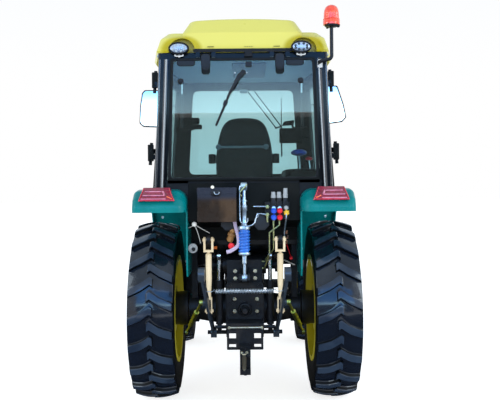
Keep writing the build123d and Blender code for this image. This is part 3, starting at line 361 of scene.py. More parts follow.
def rubber(name, centre, radius, half_width, lug_height):
    """Black rubber wiped with dressing: lugs and casing are glossy, with a painted blue sky
    reflection in their colour, lighter in patches; the lugs' flanks are dull, with painted shadow;
    the sidewalls are dull and black; and a moulding grain runs over all."""
    material, shader, place = finish(name, coat_roughness=0.08, Specular_IOR_Level=0.22)
    across = place.along("X").math("ABSOLUTE") - centre[0]
    along, above = place.along("Y") - centre[1], place.along("Z") - centre[2]
    crown = across * across * (0.05 * radius / half_width**2)
    from_axle = (along * along + above * above).math("SQRT") + crown
    rise = (from_axle - (radius - lug_height)) / lug_height
    # painted shadow darkens the lugs' flanks, and the lug tops and the casing between them carry a
    # painted blue sky reflection, lighter in patches
    polish_and_shade = rise.steps(0.7, 0.9) + rise.steps(-0.25, -0.05) * (1.0 - rise.steps(0.08, 0.3))
    blotch = place.noise(5.0, 3.0, 0.5)
    sheen_patch = blotch.steps(0.35, 0.65)
    lug_top_sheen = sheen_patch.tint((0.010, 0.018, 0.036), (0.021, 0.036, 0.064))
    polished = rise.steps(0.2, 0.7).tint((0.004, 0.007, 0.015), lug_top_sheen)
    wire(
        shader,
        Base_Color=polish_and_shade.tint((0.001, 0.0015, 0.002), polished),
        Roughness=blotch.between(0.12, 0.26) + (1.0 - polish_and_shade) * 0.35,
        Coat_Weight=sheen_patch.between(0.4, 0.9) * polish_and_shade,
        Normal=(place.noise(240.0, 3.0, 0.6) + 3.0 * place.noise(30.0, 2.0)).bump(0.3, 0.002),
    )
    return material


for axle, radius, half_width, bead_radius, bead_half, lugs, lug_height in (
    ("rear", 0.625, 0.1535, 0.356, 0.136, 20, 0.030),
    ("front", 0.445, 0.1055, 0.254, 0.086, 18, 0.024),
):
    low, high = box_of(f"{axle}_tyre_right")
    tyre_rubber = rubber(f"{axle}_rubber", (low + high) / 2, radius, half_width, lug_height)
    for hand, _ in HANDS:
        low, high = box_of(f"{axle}_tyre_{hand}")
        casing = lugged_casing(
            (low + high) / 2, radius, half_width, bead_radius, bead_half, lugs, lug_height
        )
        piece(f"{axle}_tyre_casing_{hand}", "tyre", tyre_rubber, sheet(casing, close_u=True),
              on=f"{axle}_wheel_{hand}", replaces=f"{axle}_tyre_{hand}", sharp=50.0)


# ---- Rims ---------------------------------------------------------------------------------
# Pressed and rolled steel rims and discs, sprayed yellow after welding, so that the paint lies
# smooth and glossy over the seams. Plated wheel nuts and a tyre valve are added.
REAR_HUB, FRONT_HUB = (0.0, 625.0), (1900.0, 445.0)  # ahead of the rear axle, above the floor
RIGHT, AHEAD, UP = np.eye(3)
BACK, DOWN = -AHEAD, -UP
ASKEW = (0.31, 0.47, 0.83)  # a direction that nothing on the tractor runs along


def dress(material, *nodes):
    """Gives CAD nodes this material in place of their plain one."""
    for node in nodes:
        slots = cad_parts[node].data.materials
        slots.clear()
        slots.append(material)


def sprayed(name, colour, deeper, roughness=0.22, coat=0.35, specular=0.5):
    """Gloss paint: two close tones in soft clouds, faint orange peel, and a clear upper coat."""
    material, shader, place = finish(
        name, coat=coat, coat_roughness=0.08, Specular_IOR_Level=specular
    )
    cloud = place.noise(3.0, 3.0, 0.55).steps(0.3, 0.7)
    wire(
        shader,
        Base_Color=cloud.tint(colour, deeper),
        Roughness=place.noise(24.0, 3.0, 0.6).between(roughness * 0.7, roughness * 1.5),
        Normal=place.noise(170.0, 2.0, 0.5).bump(0.12, 0.002),
    )
    return material


def plated(name, colour, dull, roughness=0.3):
    """Electroplated steel: bright, with drawn scratches and dull grey patches."""
    material, shader, place = finish(name, metallic=1.0)
    scratch = place.stretched((60.0, 60.0, 900.0)).noise(1.0, 2.0)
    patch = place.noise(32.0, 4.0, 0.7).steps(0.42, 0.68)
    wire(
        shader,
        Base_Color=patch.tint(colour, dull),
        Roughness=(patch * 0.22 + scratch * 0.18) + (roughness - 0.1),
        Normal=scratch.bump(0.08, 0.001),
    )
    return material


def at(x, y, z):
    """A place in metres from millimetres right of, ahead of and above the floor below the
    middle of the rear axle, which is how the tractor's drawings are dimensioned."""
    return np.stack(np.broadcast_arrays(x, y, z), -1) / 1000.0 + [0.0, REAR_AXLE_Y, 0.0]


def unit(vector):
    vector = np.asarray(vector, float)
    return vector / np.linalg.norm(vector, axis=-1, keepdims=True)


def turned(foot, along, profile, around=28, corners=0):
    """Turned on a line from a foot, or alike from each of several, along a direction: a profile
    of (millimetres along, radius) down the rows and the angle along them. With corners, the
    section is that polygon."""
    axis = unit(along)
    side = unit(np.cross(axis, ASKEW))
    a = np.arange(around) * (2 * math.pi / around)
    reach, radius = (np.array(column)[:, None, None] / 1000.0 for column in zip(*profile))
    ring = np.cos(a)[:, None] * side + np.sin(a)[:, None] * np.cross(axis, side)
    if corners:
        half = math.pi / corners
        ring = ring * (math.cos(half) / np.cos((a + half) % (2 * half) - half))[:, None]
    return np.asarray(foot)[..., None, None, :] + reach * axis + radius * ring[None]


def nuts(spots, facing, size, height):
    """Hexagon heads on washers, all alike, one at each spot; size is that across flats."""
    washer, head, nose = size * 0.72, size * 0.56, size * 0.46
    washer_height, bevel = 1.5, 1.5
    profile = [(0, 0), (0, washer), (washer_height, washer), (washer_height, head),
               (height - bevel, head), (height, nose), (height, 0)]
    return turned(spots, facing, profile, 12, 6)


# the rims' yellow is darkened throughout as painted shade, for their shaded inner faces
shaded_rim_paint = sprayed("rim_yellow", (0.56, 0.49, 0.025), (0.46, 0.40, 0.02), 0.3, 0.15, 0.3)
dress(shaded_rim_paint, "rear_rim_left", "rear_rim_right", "front_rim_left", "front_rim_right")
bright_zinc = plated("bright_zinc", (0.72, 0.78, 0.84), (0.46, 0.52, 0.58))
yellow_zinc = plated("yellow_zinc", (0.74, 0.70, 0.30), (0.46, 0.46, 0.22))
tyre_valve = [(0, 0), (0, 5), (14, 5), (15, 4), (32, 3.6), (33, 4.4), (42, 4.4), (43, 0)]
for axle, (y, z), count, circle, out, rim_radius in (
    ("rear", REAR_HUB, 8, 138.0, 520.0, 315.0),
    ("front", FRONT_HUB, 6, 112.0, 592.0, 222.0),
):
    for hand, sign in HANDS:
        turn = np.arange(count) * (2 * math.pi / count)
        spots = at(sign * out, y + circle * np.cos(turn), z + circle * np.sin(turn))
        valve_foot = at(sign * (out + 62), y, z - rim_radius + 28)
        piece(f"{axle}_wheel_nuts_{hand}", "zinc", bright_zinc,
              nuts(spots, (sign, 0, 0), 26, 15),
              turned(valve_foot, (18 * sign, 0, 32), tyre_valve, 12), on=f"{axle}_wheel_{hand}")


# ---- Chassis castings ---------------------------------------------------------------------
# Grey-iron housings and forgings brushed with satin black: a pebbly cast skin, with the paint
# a little browner where it dried thin. Plated bolts, the hubs' drums, the power shaft's seal and
# splines, the rear cover's ribs and the drawbar's pin go on.
def casting(name, colour, thin, low=0.26, high=0.6):
    """Brushed paint over a cast skin: a pebbled bump, and thin brown places in soft patches."""
    material, shader, place = finish(name, Specular_IOR_Level=0.32)
    stain = place.noise(9.0, 4.0, 0.65)
    wire(
        shader,
        Base_Color=stain.steps(0.48, 0.76).tint(colour, thin),
        Roughness=stain.between(low, high),
        Normal=(place.noise(150.0, 4.0, 0.65) + 2.0 * place.noise(38.0)).bump(0.3, 0.002),
    )
    return material


def tube(points, radius, around=10, count=None, ref=ASKEW, flat=1.0):
    """A bar along a smooth line through points in metres: a round or flattened section of a
    radius in millimetres, square to the line, drawn in to a point at both closed ends."""
    points = np.asarray(points, float)
    line = points if count == 0 else curve_through(points, count or 7 * len(points))
    line = np.concatenate([line[:1], line, line[-1:]])
    run = np.gradient(line, axis=0)
    run[0], run[-1] = run[1] + run[2], run[-2] + run[-3]
    run = unit(run)
    side = unit(np.cross(run, ref))
    thick = np.broadcast_to(np.asarray(radius, float) / 1000.0, len(line) - 2)
    thick = np.concatenate([[0.0], thick, [0.0]])[:, None, None]
    a = (np.arange(around) * (2 * math.pi / around))[:, None]
    ring = np.cos(a) * side[:, None] + flat * np.sin(a) * np.cross(run, side)[:, None]
    return line[:, None] + thick * ring


black_casting = casting("chassis_black", (0.006, 0.007, 0.010), (0.024, 0.019, 0.017))
dress(
    black_casting, "rear_housing", "clutch_housing", "engine", "front_frame", "front_axle",
    "knuckle_left", "knuckle_right", "drive_shaft", "steps", "drawbar", "lift_arms",
    "lift_barrels",
)
cream_zinc = plated("cream_zinc", (0.78, 0.68, 0.48), (0.52, 0.44, 0.30), 0.36)

# the hubs' drums, painted black with the axle, and the bolts of the cover and the lift's ears
drum = [(0, 94), (0, 118), (4, 122), (62, 122), (66, 119), (104, 119), (106, 100), (106, 70)]
for hand, sign in HANDS:
    piece(f"hub_drum_{hand}", "chassis_black", black_casting,
          sheet(turned(at(sign * 402, *REAR_HUB), (sign, 0, 0), drum, 48), close_u=True),
          on=f"rear_wheel_{hand}")
cover_spots = at([-69, 83, -69, 83], -357, [738, 738, 655, 655])
ear_spots = at([-62, 70, -62, 70], -472, [940, 940, 893, 893])
piece("housing_bolts", "zinc", cream_zinc,
      nuts(np.concatenate([cover_spots, ear_spots]), BACK, 19, 12),
      tube(at([-98, 104], -506, 572), 7, count=2), nuts(at([-104, 110], -506, 572), BACK, 16, 10))
SHAFT_HEIGHT = 671
seal = [(0, 30), (0, 44), (10, 46), (30, 40), (31, 34), (8, 30)]
seal = turned(at(0, -356, SHAFT_HEIGHT), BACK, seal)
splines = [(0, 0), (0, 18), (106, 18), (109, 15), (109, 0)]
splines = turned(at(0, -352, SHAFT_HEIGHT), BACK, splines, 36)
piece("shaft_seal", "chassis_black", black_casting, sheet(seal, close_u=True), splines)
piece("cover_ribs", "chassis_black", black_casting,
      turned(at([-112, 112], -336, 560), UP, [(0, 0), (0, 9), (262, 9), (262, 0)], 12))
pin = [(0, 0), (0, 16), (4, 18), (10, 14), (100, 13), (112, 9), (114, 0)]
piece("drawbar_pin_plate", "zinc", cream_zinc, turned(at(-7, -690, 444), DOWN, pin, 18),
      nuts(at([-22, 10], -701, 452), BACK, 13, 7))

# ---- Hitch --------------------------------------------------------------------------------
# Forged links in blue-black, cream-painted lift rods, green-gold turnbuckles, and two springs
# wound from wire: a bright one between the lower links and a blue one on the top link.
dress(sprayed("forged_blue_black", (0.016, 0.026, 0.042), (0.030, 0.042, 0.060), 0.3, 0.3, 0.5),
      "lower_links")
dress(bright_zinc, "tie_rod")
dress(plated("green_zinc", (0.62, 0.66, 0.16), (0.40, 0.40, 0.12), 0.34), "stabilisers")
dress(plated("hard_chrome", (0.88, 0.89, 0.91), (0.70, 0.72, 0.75), 0.16), "lift_pistons")
dress(sprayed("rod_cream", (0.80, 0.66, 0.44), (0.60, 0.46, 0.28), 0.4, 0.1), "lift_rods")


def coil(foot, head, radius, wire_radius, turns, per_turn, around):
    """A wound wire: its middle line goes round the axis as it goes along it, and the wire's
    round section stands square to that line."""
    axis = unit(head - foot)
    side = unit(np.cross(axis, ASKEW))
    t = np.linspace(0.0, 1.0, int(turns * per_turn) + 1)[:, None]
    a = 2 * math.pi * turns * t
    line = foot + t * (head - foot)
    line = line + radius / 1000.0 * (np.cos(a) * side + np.sin(a) * np.cross(axis, side))
    return tube(line, wire_radius, around, 0, axis)


low, high = box_of("link_spring")
middle, half = (low + high) / 2, (high[0] - low[0]) / 2
coil_end, hook_end, hook_rise = 0.188 * RIGHT, 0.193 * RIGHT, 0.014 * UP
hooks = [
    tube([middle + sign * half * RIGHT, middle + sign * 0.205 * RIGHT,
          middle + sign * hook_end + hook_rise], 2.2)
    for sign in (-1.0, 1.0)
]
piece("link_spring_coil", "zinc", bright_zinc,
      coil(middle - coil_end, middle + coil_end, radius=14.5, wire_radius=2.1, turns=38,
           per_turn=12, around=6), *hooks,
      on="lower_links", replaces="link_spring")

# The top link, hung up against its rest: turned steel tubes and a flanged cup at each end of
# the blue spring, a forged eye at each end, and a bent wire bail with a yellow clip.
foot, head = at(0, -475, 895), at(0, -450, 1500)
up = unit(head - foot)
length = np.linalg.norm(head - foot) * 1000.0
pale_zinc = plated("pale_zinc", (0.74, 0.84, 0.92), (0.52, 0.62, 0.70), 0.34)
spring_blue = sprayed("spring_blue", (0.035, 0.20, 0.72), (0.02, 0.13, 0.55), 0.3, 0.4)
link = [(12, 0), (12, 17), (22, 17), (26, 10), (90, 10), (96, 16), (148, 16), (152, 38), (160, 40)]
link += [(168, 38), (170, 28), (320, 28), (320, 38), (330, 40), (340, 38), (346, 24), (360, 17)]
link += [(440, 18), (446, 22), (478, 22), (484, 17), (502, 15), (504, 21), (516, 21), (518, 13)]
link += [(length - 14, 12), (length - 14, 0)]
eyes = [
    turned(middle - wide / 2000 * RIGHT, RIGHT, [(0, inner), (0, outer - 4), (4, outer),
           (wide - 4, outer), (wide, outer - 4), (wide, inner)], 32)
    for middle, wide, inner, outer in ((foot, 40, 12.5, 24.0), (head, 42, 10.2, 28.0))
]
piece("top_link_body", "zinc", pale_zinc, turned(foot, up, link, 32),
      *[sheet(eye, close_u=True) for eye in eyes], on="top_link", replaces="top_link")
piece("top_link_spring", "rod_cream", spring_blue,
      coil(foot + up * 0.176, foot + up * 0.314, radius=30.5, wire_radius=8.2, turns=7,
           per_turn=20, around=9),
      turned(foot + up * 0.170, up, [(0, 0), (0, 30), (150, 30), (150, 0)], 28), on="top_link")
bail = at([-24, -28, -28, -27, -16, 6, 22, 24], [-478, -482, -486, -492, -502, -506, -498, -486],
          [1505, 1480, 1400, 1285, 1262, 1258, 1270, 1290])
piece("top_link_bail", "zinc", bright_zinc, tube(bail, 4.2), on="top_link")
piece("top_link_clip", "zinc_yellow", plated("clip_gold", (0.80, 0.80, 0.36), (0.6, 0.56, 0.26)),
      tube(at([-27, -10, 8, 18], [-492, -492, -488, -484], [1462, 1480, 1500, 1512]), 5.0),
      tube(at([-22, -16], [-492, -490], [1448, 1436]), 3.6, count=4), on="top_link")

# ---- Remote valve and pipes ---------------------------------------------------------------
# A stack of black spool valves bolted to the rear wall, with turned caps on top, dust plugs in
# blue and red in its couplers, a yellow flow knob, and bent steel pipes with gold nuts.
def rounded(corners, radius, per=6):
    """A closed outline with rounded corners: at each corner P the points of
    (1-s)^2 A + 2s(1-s) P + s^2 B, between A and B at the radius's length along its two sides."""
    p = np.asarray(corners, float)
    back, on = np.roll(p, 1, 0) - p, np.roll(p, -1, 0) - p
    reach = [np.minimum(radius, 0.45 * np.linalg.norm(d, axis=1))[:, None] for d in (back, on)]
    a, b = (p + unit(d) * r for d, r in zip((back, on), reach))
    a, b, p = a[:, None], b[:, None], p[:, None]
    s = np.linspace(0.0, 1.0, per)[None, :, None]
    return ((1 - s) ** 2 * a + 2 * s * (1 - s) * p + s**2 * b).reshape(-1, 2)


def plate(outline, origin, right, up, thickness, edge=1.5, crown=0.0):
    """A plate with softened edges: rings of its outline in millimetres, drawn in towards the
    middle, from the middle of the back over the edges to the middle of the crowned face."""
    outline = np.asarray(outline, float)
    middle = (outline.min(0) + outline.max(0)) / 2
    inset = 1.0 - edge / np.linalg.norm(outline - middle, axis=1).mean()
    share = np.array([0.0, inset, 1.0, 1.0, inset, 0.85 * inset, 0.6, 0.3, 0.0])
    rise = np.array([0.0, 0.0, edge, thickness - edge, *[thickness] * 5])
    rise[4:] += crown * (1.0 - (share[4:] / inset) ** 2)
    flat = middle + share[:, None, None] * (outline - middle)[None]
    facing = np.cross(right, up)
    spot = flat[..., :1] * right + flat[..., 1:] * up + rise[:, None, None] * facing
    return np.asarray(origin, float) + spot / 1000.0


def box_outline(x0, x1, z0, z1):
    return [(x0, z0), (x1, z0), (x1, z1), (x0, z1)]


def panel(edges, corner, y, thickness, edge=1.5, crown=0.0):
    """A plate that faces backwards from a distance ahead of the rear axle, with rounded
    corners: its left, right, bottom and top edges, or a list of its corners."""
    corners = box_outline(*edges) if np.ndim(edges) == 1 else edges
    return plate(rounded(corners, corner), at(0, y, 0), RIGHT, UP, thickness, edge, crown)


WALL = -401  # the rear wall's outer face, ahead of the rear axle
valve_black = casting("valve_black", (0.010, 0.011, 0.014), (0.020, 0.020, 0.024))
grey_cast = casting("alloy_grey", (0.34, 0.37, 0.40), (0.24, 0.26, 0.29), 0.3, 0.5)
SPOOLS, SPOOL_Y = (196.5, 234.5, 277), -424  # how far right, and ahead, the three spools stand
COUPLER_X, COUPLER_Y = (197.5, 237), -440  # the couplers' mouths
collar = [(0, 0), (0, 18), (21, 18), (24, 16), (24, 0)]
piece("valve_spools", "chassis_black", valve_black,
      *[panel((x, x + 36, 1284, 1403), 4, WALL, 41) for x in (179, 217, 259)],
      panel((139, 176, 1290, 1396), 4, WALL, 36), panel((297, 304, 1300, 1392), 2, WALL, 34),
      panel((150, 300, 1300, 1380), 6, WALL, 30),
      turned(at(SPOOLS, SPOOL_Y, 1398), UP, collar, 28), replaces="valve_block")
caps = [
    turned(at(x, SPOOL_Y, 1422), UP, [(0, 0), (0, 16.5), (tall * 0.4, 16.5), (tall * 0.42, 14.5),
           (tall - 3, 14), (tall, 11), (tall, 0)], 28)
    for x, tall in zip(SPOOLS, (41, 41, 65))
]
ball = [(0, 0), (0, 11), (6, 15), (16, 15), (22, 10), (24, 0)]
piece("valve_caps", "zinc", grey_cast, *caps, turned(at(280, COUPLER_Y, 1356), BACK, ball, 24))


def soft_plastic(name, colour, roughness=0.4, grain=220.0, specular=0.32):
    """Moulded plastic: one colour with a fine leathery grain and slight scuffs."""
    material, shader, place = finish(name, Specular_IOR_Level=specular)
    scuff = place.noise(14.0, 4.0, 0.7)
    lighter = tuple(min(1.0, 1.3 * c + 0.006) for c in colour)
    wire(
        shader,
        Base_Color=scuff.steps(0.45, 0.8).tint(colour, lighter),
        Roughness=scuff.between(roughness - 0.12, roughness + 0.15),
        Normal=place.noise(grain, 3.0, 0.6).bump(0.2, 0.001),
    )
    return material


dust_plug = [(0, 0), (0, 15), (14, 15), (15, 19), (22, 19), (23, 16), (40, 16), (46, 12), (48, 0)]
for x, name, slot, colour in ((COUPLER_X[0], "blue", "black_plastic", (0.015, 0.09, 0.62)),
                              (COUPLER_X[1], "red", "red_lens", (0.72, 0.012, 0.03))):
    piece(f"dust_plugs_{name}", slot, soft_plastic(f"plug_{name}", colour),
          turned(at(x, COUPLER_Y, [1340, 1296]), (0, -30, -4), dust_plug, 28))
sleeve = [(0, 0), (0, 15), (18, 15), (24, 10), (24, 0)]
piece("coupler_sleeves", "zinc", pale_zinc,
      turned(at(COUPLER_X, -438, 1352), (0, -24, 4), sleeve, 24))

# the flow knob, with six lobes round its grip
star = [(0, 0), (0, 9), (8, 9), (9, 18), (20, 18), (26, 13), (28, 0)]
around = 40
star = turned(at(282, COUPLER_Y, 1324), BACK, star, around)
lobes = 1 + 0.12 * np.cos(6 * np.arange(around) * (2 * math.pi / around))
axis = at(282, 0, 1324)
star[3:6] = axis + (star[3:6] - axis) * np.stack([lobes, np.ones(around), lobes], -1)
piece("flow_knob", "black_plastic", soft_plastic("knob_yellow", (0.78, 0.50, 0.03)), star)

gland = [(0, 0), (0, 15), (14, 15), (16, 13), (24, 12), (25, 0)]
nipple = [(0, 0), (0, 7), (26, 7), (27, 5), (40, 5), (41, 0)]
adapter = [(0, 0), (0, 10), (20, 10), (22, 8), (48, 8), (48, 0)]
piece("pipe_nuts", "zinc_yellow", yellow_zinc,
      turned(at(154.5, COUPLER_Y, [1363, 1311]), BACK, gland, 24, 6),
      turned(at(155, -455, 1302), DOWN, nipple, 14),
      turned(at([196, 235], -425, 1288), DOWN, adapter, 16, 6))
dress(yellow_zinc, "hydraulic_pipes")
piece("bent_pipes", "zinc", bright_zinc, *[tube(at(*line), radius) for *line, radius in (
    ([154, 110, 88, 78, 70, 52, 36, 12], [-452, -456, -462, -474, -486, -496, -500, -500],
     [1311, 1318, 1312, 1290, 1262, 1246, 1240, 1236], 4.6),
    ([280, 279, 276, 272, 268, 268], [-462, -468, -462, -450, -440, -430],
     [1318, 1290, 1262, 1230, 1190, 1140], 4.6),
    ([143, 100, 62], [-456, -458, -458], [1365, 1366, 1366], 5.5),
    ([92, 86, 84, 90, 96], [-464, -466, -470, -476, -480], [1322, 1316, 1300, 1296, 1308], 3.2),
)])

# Eight-sided covers on the wall, the lock-out spool below it with a red knob and a bent lilac
# lever, copper-coloured couplings and orange clips on the small pipes, and a white stay with a
# red latch knob.
COVER_RADIUS, COVER_HEIGHT = 56, 1258
eight = np.linspace(0, 2 * math.pi, 9)[:-1] + math.pi / 8
octagon = COVER_RADIUS * np.stack([np.cos(eight), np.sin(eight)], 1)
piece("wall_covers", "cab_black",
      casting("cover_grey", (0.022, 0.027, 0.036), (0.034, 0.040, 0.052), 0.35, 0.6),
      *[panel(octagon + [x, COVER_HEIGHT], 1, WALL, 12, 4, 4) for x in (116, -104)])
spool = [(0, 0), (0, 22), (14, 24), (22, 18), (34, 28), (46, 28), (52, 20), (70, 24), (84, 20)]
spool += [(90, 12), (92, 0)]
piece("spool_body", "rod_cream",
      casting("cast_tan", (0.42, 0.22, 0.07), (0.26, 0.13, 0.05), 0.4, 0.7),
      turned(at(-72, -395, 1214), (-28, 0, -86), spool, 26))
red_gloss = soft_plastic("knob_red", (0.80, 0.02, 0.035), 0.3)
knob = [(0, 0), (0, 12), (8, 20), (26, 22), (38, 18), (44, 0)]
piece("spool_knob", "red_lens", red_gloss, turned(at(-86, -424, 1106), BACK, knob, 28))
lever = at([-64, -58, -44, -38, -38, -44, -66, -96, -118],
           [-440, -444, -460, -470, -474, -478, -486, -492, -494],
           [1270, 1236, 1186, 1150, 1126, 1108, 1090, 1074, 1070])
piece("spool_lever", "rod_cream",
      sprayed("lever_lilac", (0.50, 0.42, 0.58), (0.40, 0.32, 0.46), 0.35, 0.3),
      tube(lever, 12, 14, 60, AHEAD, 0.3),
      turned(at(-66, -404, 1262), BACK, [(0, 0), (0, 9), (40, 9), (40, 0)], 16))
coupling = [(0, 0), (0, 12), (10, 12), (12, 8), (24, 8), (26, 0)]
piece("pipe_couplings", "zinc", plated("copper_plate", (0.46, 0.20, 0.12), (0.26, 0.12, 0.08)),
      turned(at([288, 294, 288], -330, [1176, 1142, 1108]), (4, 0, 26), coupling, 18, 6))
clip = [(0, 0), (0, 11), (24, 11), (26, 8), (26, 0)]
piece("coupling_clips", "orange_lens", soft_plastic("clip_orange", (0.72, 0.16, 0.02)),
      *[turned(at(x, -260, z), (dx, -2, 4), clip, 18)
        for x, z, dx in ((-246, 1112, 24), (-214, 1078, 26))])
piece("slotted_stay", "lamp_glass", soft_plastic("stay_white", (0.72, 0.72, 0.70)),
      tube(at([276, 300, 330, 352], [-150, -190, -200, -205], [982, 974, 960, 952]),
           11, 10, 40, UP, 0.35))
ball = [(0, 0), (2, 8), (9, 12), (16, 12), (22, 8), (25, 0)]
piece("latch_knob", "red_lens", red_gloss, turned(at(324, -212, 1012), (2, -8, -28), ball, 20),
      tube(at([324, 312, 300], [-208, -180, -150], [1010, 1046, 1090]), 3))

# ---- Trailer socket and toolbox -----------------------------------------------------------
# A grey die-cast seven-pin socket on its bracket with small leads and their white junction, and
# a pressed steel toolbox with a rolled lid, a black over-centre latch with its wire ring, and a
# cream knob.
low, high = box_of("trailer_socket")
mouth = np.array([low[0] + 0.032, low[1], (low[2] + high[2]) / 2])
shell = [(0, 0), (0, 24), (8, 30), (14, 32), (30, 32), (33, 29), (34, 22), (30, 20), (30, 0)]
piece("socket_shell", "zinc", grey_cast, turned(mouth + 0.034 * AHEAD, BACK, shell, 36),
      tube(at([-330, -352, -376], [-392, -388, -386], 1090), 9), replaces="trailer_socket")
pins = [(0, 0), (0, 13), (18, 13), (20, 11), (21, 0)]
piece("socket_pins", "black_plastic", soft_plastic("socket_black", (0.006, 0.006, 0.007)),
      turned(mouth + [0.004, 0.02, -0.006], BACK, pins, 24))
bulb = [(0, 0), (3, 11), (12, 17), (20, 17), (29, 10), (31, 0)]
piece("lead_junction", "lamp_glass", soft_plastic("lead_white", (0.80, 0.80, 0.78)),
      turned(at(-340, -412, 1262), (14, -18, -22), bulb, 20))
piece("socket_leads", "zinc", soft_plastic("lead_grey", (0.50, 0.50, 0.48)), *[
    tube(at(*line), 2.6) for line in (
        ([-330, -314, -300, -292], [-424, -430, -428, -416], [1246, 1206, 1160, 1124]),
        ([-322, -280, -232], [-424, -420, -405], [1244, 1218, 1190]),
        ([-336, -356, -372], [-420, -410, -402], [1246, 1232, 1226]))])


def enamel_with_painted_reflections():
    """Black enamel under a clear coat, with painted reflections in its colour: brownish ones in
    broad upright bands, and a cooler blue one on the lid.
    """
    material, shader, place = finish("toolbox_enamel", coat=0.15, Specular_IOR_Level=0.2)
    # painted reflections: brownish ones in upright bands down the faces, and a cooler blue one on
    # the lid's top
    reflection_band = place.stretched((5.0, 5.0, 2.0)).noise(1.6, 3.0).steps(0.38, 0.62)
    warm_reflection = reflection_band.tint((0.018, 0.010, 0.006), (0.062, 0.036, 0.020))
    lid_sky_reflection = place.along("Z").steps(1.40, 1.44)
    wire(
        shader,
        Base_Color=lid_sky_reflection.tint(warm_reflection, (0.020, 0.024, 0.040)),
        Roughness=place.noise(20.0, 3.0).between(0.16, 0.4),
        Normal=place.noise(90.0, 2.0).bump(0.12, 0.002),
    )
    return material


low, high = box_of("toolbox")
front = low[1] - REAR_AXLE_Y  # the lid's face, ahead of the rear axle, in metres
x0, x1, z0, z1 = (1000 * v for v in (low[0], high[0], low[2], high[2]))
depth, back = 1000 * (high[1] - low[1]), high * AHEAD
case = rounded(box_outline(x0 + 3, x1 - 3, z0 + 1, z1 - 26), 5)
lid = rounded(box_outline(x0 + 1, x1 - 1, z1 - 44, z1 - 1), 9)
piece("toolbox_case", "cab_black", enamel_with_painted_reflections(), plate(case, back, RIGHT, UP, depth - 4, 3),
      plate(lid, back, RIGHT, UP, depth - 1, 5), replaces="toolbox")
cab_plastic = soft_plastic("black_plastic", (0.008, 0.008, 0.010), 0.42)
hasp = rounded(box_outline(-32, 26, -24, 16), 14)
piece("toolbox_latch", "black_plastic", cab_plastic,
      plate(hasp, at(-180, 0, z1 - 34) + (front + 0.001) * AHEAD, RIGHT, UP, 9, 3, 3))
ring = at([-194, -190, -176, -164, -160], 0, np.array([8, -4, -8, -4, 8]) + z1 - 38)
piece("toolbox_latch_ring", "zinc", bright_zinc, tube(ring + (front - 0.011) * AHEAD, 3.4))
piece("toolbox_knob", "lamp_glass", soft_plastic("knob_cream", (0.80, 0.77, 0.68)),
      turned([-0.205, low[1] + 0.010, high[2] - 0.002], (0, -16, 8),
             [(0, 0), (2, 9), (8, 12), (14, 9), (17, 0)], 20))

# ---- Hood and fenders ---------------------------------------------------------------------
# Deep-drawn sheet steel in teal green under a clear coat, with bolts where the fenders are
# fixed, and a moulded grille between clear headlamps.
body_green = sprayed("body_green", (0.0, 0.215, 0.225), (0.0, 0.160, 0.168), 0.26, 0.10, 0.14)
dress(body_green, "hood", "fenders")
dress(cab_plastic, "grille", "fuel_tank", "dash", "steering_wheel", "beacon_pole")


def lens(name, colour, deeper, rough=0.05):
    """A clear moulded lens over a reflector: glossy, with fine upright flutes inside."""
    material, shader, place = finish(name, coat=0.7, coat_roughness=0.04)
    flutes = place.along("X").wave(0.009)
    wire(
        shader,
        Base_Color=place.noise(40.0).steps(0.3, 0.7).tint(colour, deeper),
        Roughness=flutes.between(rough, rough + 0.12),
        Normal=flutes.bump(0.15, 0.001),
    )
    return material


dress(lens("clear_lens", (0.80, 0.82, 0.85), (0.66, 0.68, 0.72)), "headlamps")
rubber_strip = soft_plastic("rubber_strip", (0.004, 0.004, 0.005), 0.6, 400.0)
for hand, sign in HANDS:
    piece(f"fender_bolts_{hand}", "zinc", bright_zinc,
          nuts(at(sign * 388, [-430, -250, -60], 1080), (-sign, 0, 0), 15, 7),
          nuts(at(sign * 540, [-455], 1300), BACK, 13, 6))

# ---- Tail lamps ---------------------------------------------------------------------------
# Crimson moulded lenses on the fenders' shoulders, with paler raised flutes, a red rim, and an
# orange corner for the turn signal.
dress(lens("red_lens", (0.28, 0.004, 0.036), (0.16, 0.002, 0.018), 0.16), "tail_lamps")
pink_lens = lens("pink_flute", (0.72, 0.26, 0.38), (0.56, 0.14, 0.24), 0.1)
amber_lens = lens("amber_corner", (0.95, 0.20, 0.05), (0.80, 0.10, 0.03), 0.1)


def on_lamp(x, z):
    """A place on the right lens's slanted rear face, which leans ahead as it rises, and leans
    more above its crease."""
    z = np.asarray(z, float)
    foot, foot_y, crease, crease_y, proud = 1420, -617, 1448, -602, 3
    y = np.where(z < crease, (z - foot) * 0.54 + foot_y, (z - crease) * 1.35 + crease_y)
    return at(x, y - proud, z)


for hand, sign in HANDS:
    mirrored = [sign, 1.0, 1.0]
    flutes = [tube(mirrored * on_lamp([x0, (x0 + x1) / 2, x1], z), 3.4, 8, 12) for z, x0, x1 in
              ((1471, 533, 640), (1446, 512, 652), (1424, 503, 664))]
    side_flute = tube(mirrored * on_lamp([524, 517, 512], [1471, 1458, 1446]), 6, 8, 12)
    piece(f"lamp_flutes_{hand}", "red_lens", pink_lens, *flutes, side_flute)
    red_edge = lens(f"red_edge_{hand}", (0.72, 0.02, 0.05), (0.5, 0.01, 0.03))
    piece(f"lamp_rim_{hand}", "red_lens", red_edge, *[
        tube(mirrored * on_lamp(*line), 3.0, 8, 14) for line in (
            ([451, 672], [1416, 1416]), ([448, 466, 486], [1412, 1448, 1490]),
            ([676, 664, 652], [1412, 1448, 1490]))])
    corner = mirrored * on_lamp([462, 480, 496], [1424, 1432, 1440])
    piece(f"lamp_corner_{hand}", "orange_lens", amber_lens,
          tube(corner, [3, 8, 5] + [4] * 11, 8, 14))

